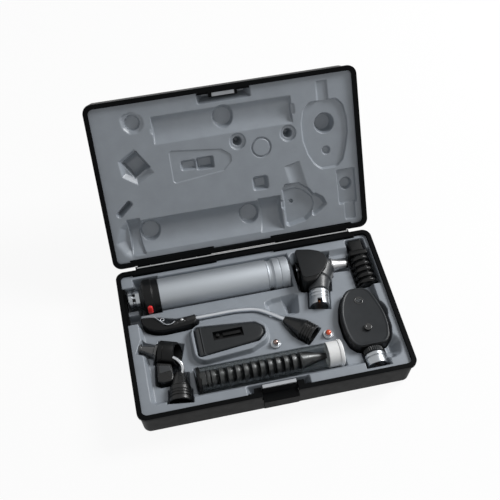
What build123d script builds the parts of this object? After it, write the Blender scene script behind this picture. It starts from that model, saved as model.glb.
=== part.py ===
from build123d import *
from math import atan2, cos, degrees, hypot, radians, sin
import os

# Otoscope carry case: two moulded ABS half shells on a pinned hinge, each lined
# with a formed tray, and the examination set that the recesses are shaped for.
# Origin: centre of the underside of the base. +X right, +Y to the hinge, +Z up.
# All lengths are millimetres. The lid is drawn closed, then swung open.

os.makedirs("parts", exist_ok=True)

# ---- driving sizes: case ------------------------------------------------------
case_width = 240.0
case_depth = 149.0
shell_height = 32.0            # each half, so the closed case is twice this
wall = 2.2
rim_width = 4.1                # width of the thick edge that the halves meet on
lip_height = 3.0               # proud band round each rim
lip_proud = 1.4
draft_inset = 1.5              # how far the walls lean in over their height
corner_radius = 8.0
edge_radius = 3.5
lid_opening = 125.0            # degrees from closed to the open stop
hinge_setback = 1.3            # hinge axis behind the rim's outer edge
ledge_width = 2.2              # ledge that carries the tray's edge
parting_gap = 0.3              # between the two rims when closed

# ---- driving sizes: hinge and latch ---------------------------------------------
pad_inner = 28.0               # hinge pads, from the middle plane
pad_outer = 103.0
pad_depth = 5.2
pad_height = 6.0
knuckle_radius = 1.7
knuckle_count = 5
knuckle_gap = 0.4
saddle_gap = 0.1               # each knuckle is a half saddle that stops short of the rim plane
pin_radius = 0.8
pin_clearance = 0.06
running_gap = 0.3

latch_width = 30.0
latch_thickness = 2.4
latch_drop = 10.0              # grip below its pin
latch_ear = 5.6                # width of each bracket ear
latch_pin_z = 26.0
latch_pin_inset = 3.6          # pin inside the front of the rim
hook_rise = 9.2                # top of the hook bar above the pin
hook_inset = 2.5               # outer face of the hook bar inside the pin when released
hook_depth = 3.0
hook_height = 1.8
strike_depth = 1.2             # ledge in the lid that the hook closes over
strike_height = 1.0
catch_width = 20.0             # grooved bar in the lid's bracket
catch_shift = 1.2              # that bar right of the middle
catch_rise = 5.5               # that bar above the rim plane

# ---- driving sizes: trays ------------------------------------------------------
sheet = 1.0                    # thermoformed sheet
tray_drop = 3.0                # border of the tray under the rim
floor_drop = 9.0               # main field of the base tray under the rim
seat_gap = 0.3                 # under each stored piece
pocket_ease = 1.4              # round each stored piece
field_margins = (14.0, 13.5, 14.5, 15.5)     # left, right, front and rear border widths
notch_width = 48.0             # opening in each tray's border for the latch
notch_depth = 13.0
lift = 60.0                    # how far a stored piece is drawn out

# ---- driving sizes: instruments ------------------------------------------------
tool_depth = 8.0               # common axis of the instruments under the rim
handle_y = 47.8
tube_radius = 14.75
tube_wall = 1.2
tube_left, tube_right = -84.0, 15.0
collar_radius = 16.4
collar_length = 15.0
cap_length = 20.5
coupling_radius = 8.4
coupling_length = 13.0
cell_gap = 0.65                # C cells in the tube
cell_radius = tube_radius - tube_wall - cell_gap
cell_length = 49.0

socket_radius = 9.2
socket_length = 16.0
socket_bore = 7.7
contact_radius = 1.6

specula_tube_radius = 10.6
specula_tube_wall = 1.0
specula_tube_y = -44.3
specula_tube_left, specula_tube_right = -65.8, 50.0
specula_pitch = 7.0
specula_in_tube = 11
tube_cap_length = 15.5
tube_cap_radius = 11.2

stack_x = 103.2                # reusable specula on their holder
stack_front, stack_rear = 16.5, 54.0
stack_radius = 9.6
stack_grip_rear = 66.4
stack_pitch = 6.3

# ---- worked out from the above ---------------------------------------------------
rim_z = shell_height
half_width = case_width / 2
half_depth = case_depth / 2
hinge_y = half_depth + hinge_setback
hinge_axis = Axis((0, hinge_y, rim_z), (1, 0, 0))
border_z = rim_z - tray_drop
field_z = rim_z - floor_drop
ledge_z = border_z - sheet
tool_z = rim_z - tool_depth
lid_face_z = rim_z + tray_drop
tray_half_width = half_width - rim_width - 0.15
tray_half_depth = half_depth - rim_width - 0.15
pad_front = half_depth - pad_depth
field_left, field_right = -half_width + field_margins[0], half_width - field_margins[1]
field_front, field_rear = -half_depth + field_margins[2], half_depth - field_margins[3]
latch_pin_y = -half_depth + latch_pin_inset


# ---- shared shapes ---------------------------------------------------------------
def block(x0, x1, y0, y1, z0, z1):
    """Box between two corners."""
    return Pos((x0 + x1) / 2, (y0 + y1) / 2, (z0 + z1) / 2) * Box(x1 - x0, y1 - y0, z1 - z0)


def rounded_block(x0, x1, y0, y1, z0, z1, radius):
    """Box with upright edges rounded."""
    outline = RectangleRounded(x1 - x0, y1 - y0, radius)
    return Pos((x0 + x1) / 2, (y0 + y1) / 2, z0) * extrude(outline, amount=z1 - z0)


def turned(profile, bore=0.0):
    """Solid of revolution about X from (position, radius) pairs."""
    points = [(profile[0][0], bore)] + list(profile) + [(profile[-1][0], bore)]
    return revolve(make_face(Polyline(*points, close=True)), Axis.X)


def rod(start, end, radius, end_radius=None):
    """Round bar or cone between two points."""
    a, b = Vector(*start), Vector(*end)
    length = (b - a).length
    solid = Cone(radius, end_radius, length) if end_radius is not None else Cylinder(radius, length)
    return Plane(origin=(a + b) * 0.5, z_dir=(b - a).normalized()) * solid


def plate(points, z0, z1, radius=0.0):
    """Flat plate from an outline, with its upright corners rounded."""
    face = make_face(Polyline(*points, close=True))
    if radius:
        face = fillet(face.vertices(), radius)
    return Pos(0, 0, z0) * extrude(face, amount=z1 - z0)


def along(start, end):
    """Location whose X axis runs from start to end."""
    a, b = Vector(*start), Vector(*end)
    return Plane(origin=a, x_dir=(b - a).normalized(), z_dir=(0, 0, 1)).location


def save(name, shape):
    """Write one node."""
    export_step(shape, "parts/" + name + ".step")


def swing_open(shape):
    """Turn a lid piece from closed to its open stop."""
    return shape.rotate(hinge_axis, -lid_opening)


def as_lid(shape):
    """Mirror a base piece across the rim plane."""
    return mirror(shape, about=Plane.XY.offset(rim_z))


# ---- case shells -------------------------------------------------------------------
def knuckle_spans():
    """(first x, last x, is base) for every hinge knuckle on both sides."""
    step = (pad_outer - pad_inner - 4) / knuckle_count
    spans = []
    for i in range(knuckle_count):
        x0 = pad_inner + 2 + i * step + knuckle_gap / 2
        x1 = x0 + step - knuckle_gap
        spans += [(x0, x1, i % 2 == 0), (-x1, -x0, i % 2 == 0)]
    return spans


def half_shell(for_base):
    """One moulded half, drawn as the base: lip, drafted walls, ledge and hinge pads."""
    top = rim_z - parting_gap / 2
    low_w, low_d = case_width - 2 * (lip_proud + draft_inset), case_depth - 2 * (lip_proud + draft_inset)
    top_w, top_d = case_width - 2 * lip_proud, case_depth - 2 * lip_proud
    body = loft([
        RectangleRounded(low_w, low_d, corner_radius - 1.5),
        Pos(0, 0, top - lip_height) * RectangleRounded(top_w, top_d, corner_radius - 0.8),
    ])
    body = fillet(body.faces().sort_by(Axis.Z)[0].edges(), edge_radius)
    lip = Pos(0, 0, top - lip_height) * extrude(
        RectangleRounded(case_width, case_depth, corner_radius), amount=lip_height)
    lip = fillet(lip.faces().sort_by(Axis.Z)[-1].edges(), 0.6)
    well = rounded_block(-half_width + rim_width + ledge_width, half_width - rim_width - ledge_width,
                         -half_depth + rim_width + ledge_width, half_depth - rim_width - ledge_width,
                         wall, ledge_z, corner_radius - 3.5)
    mouth = rounded_block(-half_width + rim_width, half_width - rim_width,
                          -half_depth + rim_width, half_depth - rim_width,
                          ledge_z, rim_z, corner_radius - rim_width + 1.0)
    shell = body + lip - well - mouth
    if for_base:
        # the stack's pocket is too near the side wall for the ledge, which stops short of it
        shell -= block(stack_x, half_width - rim_width, stack_front - 4.0, stack_rear + 2.5, wall, ledge_z)
    for side in (-1, 1):
        ends = sorted((side * pad_inner, side * pad_outer))
        outline = [(ends[0], pad_front), (ends[1], pad_front),
                   (ends[1] + 3.5, half_depth - rim_width + 1), (ends[0] - 3.5, half_depth - rim_width + 1)]
        shell += plate(outline, top - pad_height, top)
    for x0, x1, is_base in knuckle_spans():
        if is_base == for_base:
            saddle = rod((x0, hinge_y, rim_z), (x1, hinge_y, rim_z), knuckle_radius)
            saddle += block(x0, x1, half_depth - rim_width, hinge_y, rim_z - knuckle_radius, rim_z)
            shell += saddle - block(x0 - 1, x1 + 1, 0, 2 * half_depth, rim_z - saddle_gap, rim_z + 5)
        else:
            relief = rod((x0 - knuckle_gap, hinge_y, rim_z), (x1 + knuckle_gap, hinge_y, rim_z),
                         knuckle_radius + running_gap)
            shell -= relief
    return shell - rod((-pad_outer, hinge_y, rim_z), (pad_outer, hinge_y, rim_z), pin_radius + pin_clearance)


def latch_slot():
    """Opening in the front rim that the latch works through."""
    half = latch_width / 2 + 0.6
    return block(-half, half, -half_depth - 1, -half_depth + rim_width + ledge_width + 0.5,
                 latch_pin_z - 5.0, rim_z + 1)


def latch_ears():
    """Two rounded ears inside the front rim that hold the latch pin."""
    ears = None
    for side in (-1, 1):
        x0, x1 = sorted((side * (latch_width / 2 + 0.6), side * (latch_width / 2 + 0.6 + latch_ear)))
        y1 = latch_pin_y + 6.4
        ear = block(x0, x1, -half_depth + 2.0, y1, latch_pin_z - 4, rim_z - 0.6)
        ear = fillet(ear.edges().filter_by(Axis.X).group_by(Axis.Y)[-1].sort_by(Axis.Z)[-1:], 2.5)
        ears = ear if ears is None else ears + ear
    return ears


half_bracket = catch_width / 2 + 2.5
base_shell = half_shell(True) + latch_ears() - latch_slot()
base_shell -= rod((-latch_width, latch_pin_y, latch_pin_z), (latch_width, latch_pin_y, latch_pin_z),
                  pin_radius + pin_clearance) & block(-latch_width / 2 - latch_ear, latch_width / 2 + latch_ear,
                                                      -half_depth, 0, 0, rim_z)

# The lid's front wall carries the strike ledge for the hook and, above it, a bracket with a grooved bar.
front_face_y = -half_depth + rim_width
lid_shell = as_lid(half_shell(False))
lid_shell += block(-half_bracket + 0.6, half_bracket - 0.6, front_face_y - 0.5, front_face_y + strike_depth,
                   rim_z + 0.3, rim_z + 0.3 + strike_height)
catch_y0 = front_face_y + 1.6
catch_y1 = catch_y0 + 3.6
catch_z0 = rim_z + catch_rise
lid_shell += block(catch_shift - half_bracket, catch_shift + half_bracket, front_face_y - 1.5, catch_y1 + 0.6, catch_z0 - 0.4, catch_z0 + 6.0)
lid_shell -= block(catch_shift - catch_width / 2, catch_shift + catch_width / 2, catch_y0, catch_y1, rim_z,
                   catch_z0 + 4.0)
save("base_shell", base_shell)
save("lid_shell", swing_open(lid_shell))

save("hinge_pin", rod((-pad_outer + 3.5, hinge_y, rim_z), (pad_outer - 3.5, hinge_y, rim_z), pin_radius))
save("lid_catch_bar", swing_open(block(catch_shift - catch_width / 2 + 0.05, catch_shift + catch_width / 2 - 0.05, catch_y0 + 0.05,
                                       catch_y1 - 0.05, catch_z0, catch_z0 + 2.5)))


# ---- latch ---------------------------------------------------------------------------
# A rocker: the hook bar stands inside the rim and the grip hangs outside it.
half_latch = latch_width / 2
grip_y = -half_depth - 1.2
hook_y0 = latch_pin_y + hook_inset
hook_y1 = hook_y0 + hook_depth
hook_z0 = latch_pin_z + hook_rise - hook_height
rocker_outline = [
    (latch_pin_y + 3.0, latch_pin_z - 1.8), (hook_y1 - 0.2, latch_pin_z + 3.0), (hook_y1 - 0.2, hook_z0),
    (hook_y0 + 0.9, hook_z0), (hook_y0 + 0.9, latch_pin_z + 5.0), (latch_pin_y + 0.8, latch_pin_z + 2.4),
    (grip_y - 1.0, latch_pin_z + 3.6), (grip_y - latch_thickness, latch_pin_z + 1.0),
    (grip_y - latch_thickness, latch_pin_z - latch_drop), (grip_y, latch_pin_z - latch_drop),
    (grip_y, latch_pin_z - 1.8),
]
rocker = Plane.YZ.offset(-half_latch) * extrude(make_face(Polyline(*rocker_outline, close=True)), amount=latch_width)
rocker -= rod((-half_latch - 1, latch_pin_y, latch_pin_z), (half_latch + 1, latch_pin_y, latch_pin_z),
              pin_radius + pin_clearance)
hook_bar = block(-half_latch + 0.6, half_latch - 0.6, hook_y0, hook_y1, hook_z0, hook_z0 + hook_height)
save("latch_flap", rocker)
save("latch_hook_bar", hook_bar)
save("latch_pin", rod((-half_latch - latch_ear, latch_pin_y, latch_pin_z),
                      (half_latch + latch_ear, latch_pin_y, latch_pin_z), pin_radius))


# ---- places of the stored pieces --------------------------------------------------------
# Otoscope head: the socket axis leans, and the speculum stands square to that lean.
head_lean = 12.0
head_foot = (54.3, 4.5)
lean_x, lean_y = sin(radians(head_lean)), cos(radians(head_lean))
head_left, head_right = 44.4, 71.0
head_front, head_rear = 25.0, 61.5
head_thickness = 28.0
lens_room = 2.4                # the lens frame stands this far off the housing
neck_radius, nose_radius = 11.2, 11.6
nose_fall = 4.0                # degrees the nose points forward of the X axis
nose_x, nose_y = cos(radians(nose_fall)), sin(radians(nose_fall))
speculum_root = (75.4, 45.9)
speculum_length = 16.6

# Ophthalmoscope, upright on its own axis
ophth_x = 88.0
ophth_foot_y = -64.0
ophth_face_front, ophth_face_rear = -47.0, 13.0
ophth_half_top, ophth_half_wide, ophth_half_low = 10.0, 19.7, 14.5
ophth_thickness = 22.0
ophth_face_z = rim_z + 0.2

# Throat lamp
throat_route = [(-56.0, 16.6), (-19.5, 16.9), (-2.0, 14.4), (8.7, 7.7), (20.3, -1.4)]
throat_bends = [60.0, 30.0, 30.0]
throat_radius = 1.95
throat_z = field_z + 1.5
throat_mouth = (41.6, -22.8)

# Operating head
barrel_start, barrel_end = (-94.0, -10.5), (-74.5, -17.0)
barrel_radius = 10.8
operating_tip = (-109.3, -3.4)
operating_foot = (-82.6, -61.5)
operating_top = (-79.2, -34.5)
operating_z = tool_z
light_tube_radius = 1.5


# Cover with its raised platform
cover_left, cover_right = -60.5, -0.2
cover_half_left, cover_half_right, cover_y = 14.8, 9.2, -10.2
cover_height = 9.0

# Spare lamps: x, y and whether the bulb shows
lamp_places = [(7.2, -23.7), (54.4, -24.2)]
lamp_flange_radius = 4.6
lamp_height = 11.0


def cradle(start, end, z, radius, grow):
    """Round-bottomed trough for a bar of the given radius between two points."""
    a, b = Vector(start[0], start[1], z), Vector(end[0], end[1], z)
    way = (b - a).normalized()
    reach = radius + pocket_ease + grow
    lifted = pocket_ease - seat_gap
    a, b = a - way * (pocket_ease + grow), b + way * (pocket_ease + grow)
    length = (b - a).length
    middle = (a + b) * 0.5 + Vector(0, 0, lifted)
    frame = Plane(origin=middle, x_dir=way, z_dir=(0, 0, 1))
    trough = frame * (Rot(0, 90, 0) * Cylinder(reach, length))
    return trough + frame * (Pos(0, 0, 20) * Box(length, 2 * reach, 40))


def outline_pocket(points, z_floor, radius, grow, ease=pocket_ease):
    """Flat-bottomed pocket round an outline."""
    face = fillet(make_face(Polyline(*points, close=True)).vertices(), radius)
    face = offset(face, amount=ease + grow)
    return Pos(0, 0, z_floor - grow) * extrude(face, amount=60)


def head_outline(room=0.0):
    """Plan of the otoscope's lens housing: flat at the lens, round at the front."""
    left, front = head_left - room, head_front - room / 3
    return [(left, front), (head_right - 11, front), (head_right, head_front + 12),
            (head_right, head_rear - 13), (head_right - 11, head_rear), (left, head_rear)]


def ophth_outline(inset=0.0):
    """Shield-shaped plan of the ophthalmoscope."""
    y0, y1 = ophth_face_front + inset, ophth_face_rear - inset
    wide_y = -20.0
    half = [(ophth_half_low - inset, y0), (ophth_half_wide - inset, wide_y - 10), (ophth_half_wide - inset, wide_y + 4),
            (ophth_half_top + 4.5 - inset, y1 - 5), (ophth_half_top - 2 - inset, y1)]
    return [(ophth_x + x, y) for x, y in half] + [(ophth_x - x, y) for x, y in reversed(half)]


def cover_outline(inset=0.0):
    """Trapezoid plan of the cover, rounded to a half circle at its narrow end."""
    x0, x1 = cover_left + inset, cover_right - inset
    return [(x0, cover_y - cover_half_left + inset), (x1 - 7, cover_y - cover_half_right + inset),
            (x1, cover_y - 4.5), (x1, cover_y + 4.5),
            (x1 - 7, cover_y + cover_half_right - inset), (x0, cover_y + cover_half_left - inset)]


def platform(grow):
    """Raised island round the cover, smaller by grow."""
    x0, x1 = cover_left - 4.4 + grow, cover_right + 3.5 - grow
    rear, front = cover_y + cover_half_left + 4.0 - grow, cover_y - cover_half_left - 6.0 + grow
    outline = [(x0, front), (-14.0, front), (x1, cover_y - 7), (x1, cover_y + 7), (-14.0, rear - 1.5), (x0, rear)]
    face = fillet(make_face(Polyline(*outline, close=True)).vertices(), 5.0)
    return Pos(0, 0, field_z - 2 * sheet) * extrude(face, amount=border_z - grow - field_z + 2 * sheet)


def throat_line():
    """Centre line of the throat lamp's tube in plan."""
    return FilletPolyline(*throat_route, radius=throat_bends)


def base_pockets(grow):
    """Every recess of the base tray, each enlarged by grow for the sheet's outside."""
    pockets = [
        cradle((tube_left - collar_length, handle_y), (tube_right + cap_length, handle_y), tool_z, tube_radius, grow),
        cradle((tube_left - collar_length - 5.5, handle_y), (tube_left, handle_y), tool_z, collar_radius, grow),
        rounded_block(-112.6 - grow, -98.0, 22.0 - grow, 60.0 + grow, tool_z - 12.0 - grow, 80.0, 3.0),
        outline_pocket(head_outline(lens_room), tool_z - head_thickness / 2 - seat_gap, 4.0, grow),
        cradle(head_foot, (head_foot[0] + 24 * lean_x, head_foot[1] + 24 * lean_y), tool_z, socket_radius, grow),
        cradle((head_foot[0] + 18 * lean_x, head_foot[1] + 18 * lean_y),
               (head_foot[0] + 30 * lean_x, head_foot[1] + 30 * lean_y), tool_z, neck_radius, grow),
        cradle((speculum_root[0] - 13.0 * nose_x, speculum_root[1] + 13.0 * nose_y),
               (speculum_root[0] - 1.0, speculum_root[1]), tool_z, nose_radius, grow),
        cradle((speculum_root[0] - 8.0 * nose_x, speculum_root[1] + 8.0 * nose_y),
               (speculum_root[0] + speculum_length * nose_x, speculum_root[1] - speculum_length * nose_y),
               tool_z, 6.6, grow),
        outline_pocket(ophth_outline(), ophth_face_z - ophth_thickness - seat_gap, 5.0, grow),
        rounded_block(ophth_x + 12.0 - grow, ophth_x + 24.2 + grow, -24.0 - grow, -2.0 + grow, tool_z - 9.5 - grow, 80.0, 2.0),
        cradle((ophth_x, ophth_foot_y), (ophth_x, ophth_face_front + 4), tool_z, socket_radius, grow),
        cradle((specula_tube_left, specula_tube_y), (specula_tube_right + tube_cap_length - 3.5, specula_tube_y),
               tool_z, tube_cap_radius + 0.6, grow),
        cradle((stack_x, stack_front), (stack_x, stack_rear), tool_z, stack_radius, grow),
        rounded_block(stack_x - 7.6 - grow, stack_x + 7.6 + grow, stack_rear - 4, stack_grip_rear + 0.4 + grow,
                      tool_z - 6.0 - seat_gap - grow, 80.0, 2.0),
        rounded_block(stack_x - 9.8 - grow, stack_x + 9.8 + grow, stack_rear - 8, stack_rear + 1.2 + grow,
                      tool_z - 7.0 - seat_gap - grow, 80.0, 2.0),
        outline_pocket(cover_outline(), border_z - cover_height + 1.2 - seat_gap, 3.0, grow, 0.8),
        rounded_block(6.0 - grow, 38.0 + grow, 3.0 - grow, 25.5 + grow, field_z - 7.0 - grow, 80.0, 3.0),
        rounded_block(22.0 - grow, 38.0 + grow, 3.0 - grow, 25.5 + grow, field_z - 14.0 - grow, 80.0, 3.0),
        # operating head: barrel, block and socket
        cradle(barrel_start, barrel_end, operating_z, barrel_radius, grow),
        cradle(operating_foot, operating_top, operating_z, socket_radius, grow),
        cradle((operating_tip[0] + 1.2, operating_tip[1] - 0.6), barrel_start, operating_z, 5.0, grow),
        cradle((operating_tip[0] + 5.5, operating_tip[1] - 2.6), barrel_start, operating_z, 7.2, grow),
        cradle((-101.0, -6.7), barrel_start, operating_z, barrel_radius - 2.2, grow),
        rounded_block(-102.5 - grow, -78.5, -46.5 - grow, -15.0, operating_z - 12.5 - grow, 80.0, 2.5),
        # throat lamp: boat-shaped holder, bent tube and tapered socket
        outline_pocket([(-105.2, 25.8), (-104.6, 17.6), (-99.7, 11.8), (-92.8, 8.2), (-86.0, 7.0), (-66.0, 7.6),
                        (-57.9, 8.9), (-54.8, 12.2), (-54.8, 19.8), (-75.0, 19.8), (-92.0, 25.2)],
                       throat_z - 7.5 - seat_gap, 1.0, grow, 0.6),
        cradle(throat_route[-1], throat_mouth, throat_z, socket_radius, grow),
    ]
    for x, y in lamp_places:
        pockets.append(Pos(x, y, field_z - 4.0 - grow + 30) * Cylinder(2.6 + grow, 60))
    groove = trace(throat_line(), line_width=2 * (throat_radius + 1.0 + grow))
    pockets.append(Pos(0, 0, throat_z - throat_radius - seat_gap - grow) * extrude(groove, amount=60))
    return pockets


def field(grow):
    """Sunken field of the base tray, less the raised platform."""
    sunk = rounded_block(field_left - grow, field_right + grow, field_front - grow, field_rear + grow,
                         field_z - grow, 80.0, 4.0)
    return sunk - platform(grow)


def tray_plate(z0, z1):
    """Flat border of a tray, notched round the hinge pads and the latch."""
    sheet_plate = rounded_block(-tray_half_width, tray_half_width, -tray_half_depth, tray_half_depth, z0, z1,
                                corner_radius - rim_width + 1.0)
    for side in (-1, 1):
        ends = sorted((side * (pad_inner - 1.0), side * (pad_outer + 1.0)))
        notch = [(ends[0], pad_front - 0.6), (ends[1], pad_front - 0.6),
                 (ends[1] + 5.0, half_depth), (ends[0] - 5.0, half_depth)]
        sheet_plate -= plate(notch, z0 - 1, z1 + 1)
    return sheet_plate


def formed(outsides, insides, low, high, start):
    """Sheet tray: the outsides joined to the border, then the insides opened out."""
    room = block(-tray_half_width, tray_half_width, -tray_half_depth, tray_half_depth, low, high)
    tray = start
    for outside in outsides:
        tray += outside & room
    for inside in insides:
        tray -= inside
    return tray


front_notch = block(-notch_width / 2 - 2, notch_width / 2 + 2, -half_depth, -half_depth + notch_depth, 0, 100)
base_tray = formed([field(sheet)] + base_pockets(sheet), [field(0.0)] + base_pockets(0.0),
                   wall + 0.3, border_z, tray_plate(ledge_z, border_z) - front_notch)
base_tray -= front_notch
save("base_tray", base_tray)


# ---- lid tray ----------------------------------------------------------------------------
def lid_disc(x, y, radius, rise, grow):
    """Round recess in the lid tray."""
    return Pos(x, y, lid_face_z + (rise + grow) / 2 - 20) * Cylinder(radius + grow, rise + grow + 40)


def lid_box(x0, x1, y0, y1, rise, grow, turn=0.0, radius=1.5):
    """Square-sided recess in the lid tray, turned about its middle."""
    outline = RectangleRounded(x1 - x0 + 2 * grow, y1 - y0 + 2 * grow, radius)
    return Pos((x0 + x1) / 2, (y0 + y1) / 2, lid_face_z - 40) * Rot(0, 0, turn) * extrude(
        outline, amount=40 + rise + grow)


def lid_outline(points, rise, radius, grow):
    """Recess round an outline in the lid tray."""
    face = offset(fillet(make_face(Polyline(*points, close=True)).vertices(), radius), amount=grow)
    return Pos(0, 0, lid_face_z - 40) * extrude(face, amount=40 + rise + grow)


def lid_arch(start, end, radius, grow, z=tool_z):
    """Round-topped recess over a bar lying in the base."""
    a, b = Vector(start[0], start[1], z), Vector(end[0], end[1], z)
    way = (b - a).normalized()
    return rod(tuple(a - way * grow), tuple(b + way * grow), radius + grow)


def lid_pockets(grow):
    """Every recess of the lid tray, each enlarged by grow."""
    pockets = [
        lid_arch((-91.0, handle_y), (39.8, handle_y), 18.6, grow),
        lid_arch((-100.5, handle_y), (-91.0, handle_y), 20.6, grow),
        lid_arch((-105.5, handle_y), (-100.5, handle_y), 16.0, grow),
        lid_disc(-81.0, 45.5, 9.6, 9.6, grow), lid_disc(10.6, 45.5, 9.6, 9.6, grow),
        lid_outline(head_outline(), 6.0, 5.0, grow + 0.8),
        lid_box(head_left - 3.8, head_left + 2.6, 37.4, 44.6, 2.6, grow),
        lid_arch((66.0, 51.7), (82.0, 48.4), 15.5, grow),
        lid_disc(50.8, 40.6, 3.8, 8.5, grow),
        lid_arch((head_foot[0], head_foot[1]), (head_foot[0] + 26 * lean_x, head_foot[1] + 26 * lean_y), 13.0, grow),
        lid_outline(ophth_outline(), 2.6, 5.0, grow),
        lid_disc(ophth_x, -27.0, 9.6, 9.0, grow), lid_disc(ophth_x - 0.5, -2.3, 4.6, 4.0, grow),
        lid_box(ophth_x - 5.2, ophth_x + 5.2, -65.0, -44.0, 1.8, grow),
        lid_box(94.8, 112.0, 17.2, 50.0, 3.2, grow), lid_box(99.6, 109.6, 48.0, 65.5, 2.0, grow),
        lid_disc(103.2, 31.5, 6.4, 6.0, grow),
        lid_box(17.2, 30.0, 10.5, 23.4, 6.0, grow),
        lid_box(-109.0, -92.0, 18.6, 22.2, 5.0, grow, turn=-40.0),
        lid_outline(cover_outline(), 1.2, 3.0, grow),
        lid_box(-45.5, -31.8, -15.6, -5.0, 4.0, grow), lid_box(-32.5, -16.0, -15.6, -5.0, 6.0, grow),
        lid_disc(7.8, -23.4, 7.4, 2.0, grow), lid_disc(8.2, -23.8, 4.6, 9.0, grow),
        lid_disc(53.6, -23.2, 7.4, 2.0, grow), lid_disc(54.2, -23.8, 4.6, 9.0, grow),
        lid_disc(28.5, -15.0, 9.0, 1.0, grow),
        lid_box(-97.0, -72.0, -24.0, -7.8, 8.0, grow, turn=-121.0),
        lid_disc(-81.0, -54.0, 7.8, 4.5, grow),
        lid_arch((specula_tube_left + 1.8, specula_tube_y), (59.0, specula_tube_y), 16.3, grow),
        lid_box(specula_tube_left - 1.0, specula_tube_left + 3.0, specula_tube_y - 4.0, specula_tube_y + 4.0, 1.0, grow),
        lid_box(57.0, specula_tube_right + tube_cap_length - 2.4, specula_tube_y - 6.0, specula_tube_y + 6.0, 1.8, grow),
        lid_disc(-2.0, -46.0, 8.6, 8.0, grow),
    ]
    return pockets


lid_notch = block(-notch_width / 2 + 3.0, notch_width / 2 - 0.5, -half_depth, -half_depth + notch_depth, 0, 100)
lid_tray = formed(lid_pockets(sheet), lid_pockets(0.0), lid_face_z, 2 * shell_height - wall - 1,
                  tray_plate(lid_face_z, lid_face_z + sheet) - lid_notch)
lid_tray -= lid_notch
save("lid_tray", swing_open(lid_tray))


# ---- battery handle ------------------------------------------------------------------------
def on_handle(shape):
    """Place a solid drawn along X from x = 0 on the handle's axis."""
    return Pos(0, handle_y, tool_z) * shape


collar_left = tube_left - collar_length
shoulder_left = collar_left - 6.0
coupling_left = collar_left - coupling_length
cap_right = tube_right + cap_length
joint_gap = 0.1

handle_tube = turned([(tube_left + joint_gap, tube_radius), (tube_right - joint_gap, tube_radius)],
                     bore=tube_radius - tube_wall)
end_cap = turned([(tube_right, tube_radius - 0.9), (tube_right + 4.0, tube_radius - 0.9),
                  (tube_right + 4.6, tube_radius), (tube_right + 14.4, tube_radius),
                  (tube_right + 14.7, tube_radius - 0.5), (tube_right + 15.3, tube_radius - 0.5),
                  (tube_right + 15.6, tube_radius), (cap_right - 1.6, tube_radius), (cap_right, tube_radius - 1.4)])
end_cap -= turned([(tube_right - 1, cell_radius + 0.2), (cap_right - 2.0, cell_radius + 0.2)])
rheostat_ring = turned([(collar_left, 13.4), (collar_left + 1.6, collar_radius - 0.5), (collar_left + 2.6, collar_radius),
                        (collar_left + 8.4, collar_radius), (collar_left + 9.2, tube_radius + 0.5),
                        (tube_left - joint_gap, tube_radius + 0.5)], bore=9.6)
button_angle = 12.5            # degrees above the horizontal, on the front of the ring
button_x = collar_left + 5.0
button_frame = Plane(origin=(button_x, handle_y, tool_z),
                     x_dir=(1, 0, 0), z_dir=(0, -cos(radians(button_angle)), sin(radians(button_angle))))
button_well = button_frame * (Pos(0, 0, collar_radius - 3.6) * extrude(SlotOverall(8.2, 5.0, rotation=90), amount=8))
switch_button = button_frame * (Pos(0, 0, collar_radius - 2.4) * extrude(SlotOverall(7.8, 4.6, rotation=90), amount=3.6))
rheostat_ring = on_handle(rheostat_ring) - button_well
shoulder = turned([(shoulder_left, 9.6), (collar_left - joint_gap, 12.6)], bore=coupling_radius + 0.02)
core = turned([(coupling_left + 2.0, 3.5), (collar_left, 3.5), (collar_left, 9.4), (tube_left + 4.0, 9.4)])
core -= turned([(coupling_left, 1.5), (collar_left + 2.0, 1.5)])
bayonet = turned([(coupling_left, coupling_radius - 0.8), (coupling_left + 0.8, coupling_radius - 0.1),
                  (coupling_left + 4.0, coupling_radius - 0.1), (coupling_left + 4.4, coupling_radius - 1.0),
                  (coupling_left + 6.2, coupling_radius - 1.0), (coupling_left + 6.6, coupling_radius),
                  (collar_left - joint_gap, coupling_radius)], bore=3.6)
bayonet = on_handle(bayonet)
for angle in (35.0, 155.0, 275.0):
    slot = Pos(coupling_left + 5.2, 0, 0) * Box(2.6, 4.4, 8.0)
    bayonet -= on_handle(Rot(angle, 0, 0) * (Pos(0, 0, coupling_radius) * slot))
save("handle_tube", on_handle(handle_tube))
save("handle_end_cap", on_handle(end_cap))
save("rheostat_ring", rheostat_ring)
save("switch_button", switch_button)
save("handle_shoulder", on_handle(shoulder))
save("rheostat_core", on_handle(core))
save("bayonet_coupling", bayonet)
save("handle_contact", on_handle(turned([(coupling_left + 1.0, 1.45), (collar_left + 1.9, 1.45)])))
cells = [turned([(tube_left + 4.2, cell_radius), (tube_left + 4.2 + cell_length - 1.6, cell_radius),
                 (tube_left + 4.2 + cell_length - 1.6, 2.6), (tube_left + 4.2 + cell_length, 2.6)])]
cells.append(Pos(cell_length, 0, 0) * cells[0])
save("battery_cells", Compound(children=[on_handle(cell) for cell in cells]))
spring_start = tube_left + 4.2 + 2 * cell_length
spring_end = cap_right - 2.0
spring_helix = Pos(spring_start + 1.0, handle_y, tool_z) * (Rot(0, 90, 0) * Helix(
    pitch=3.4, height=spring_end - spring_start - 2.0, radius=6.5))
save("battery_spring", sweep(Plane(origin=spring_helix @ 0, z_dir=spring_helix % 0) * Circle(0.6), path=spring_helix))


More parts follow.
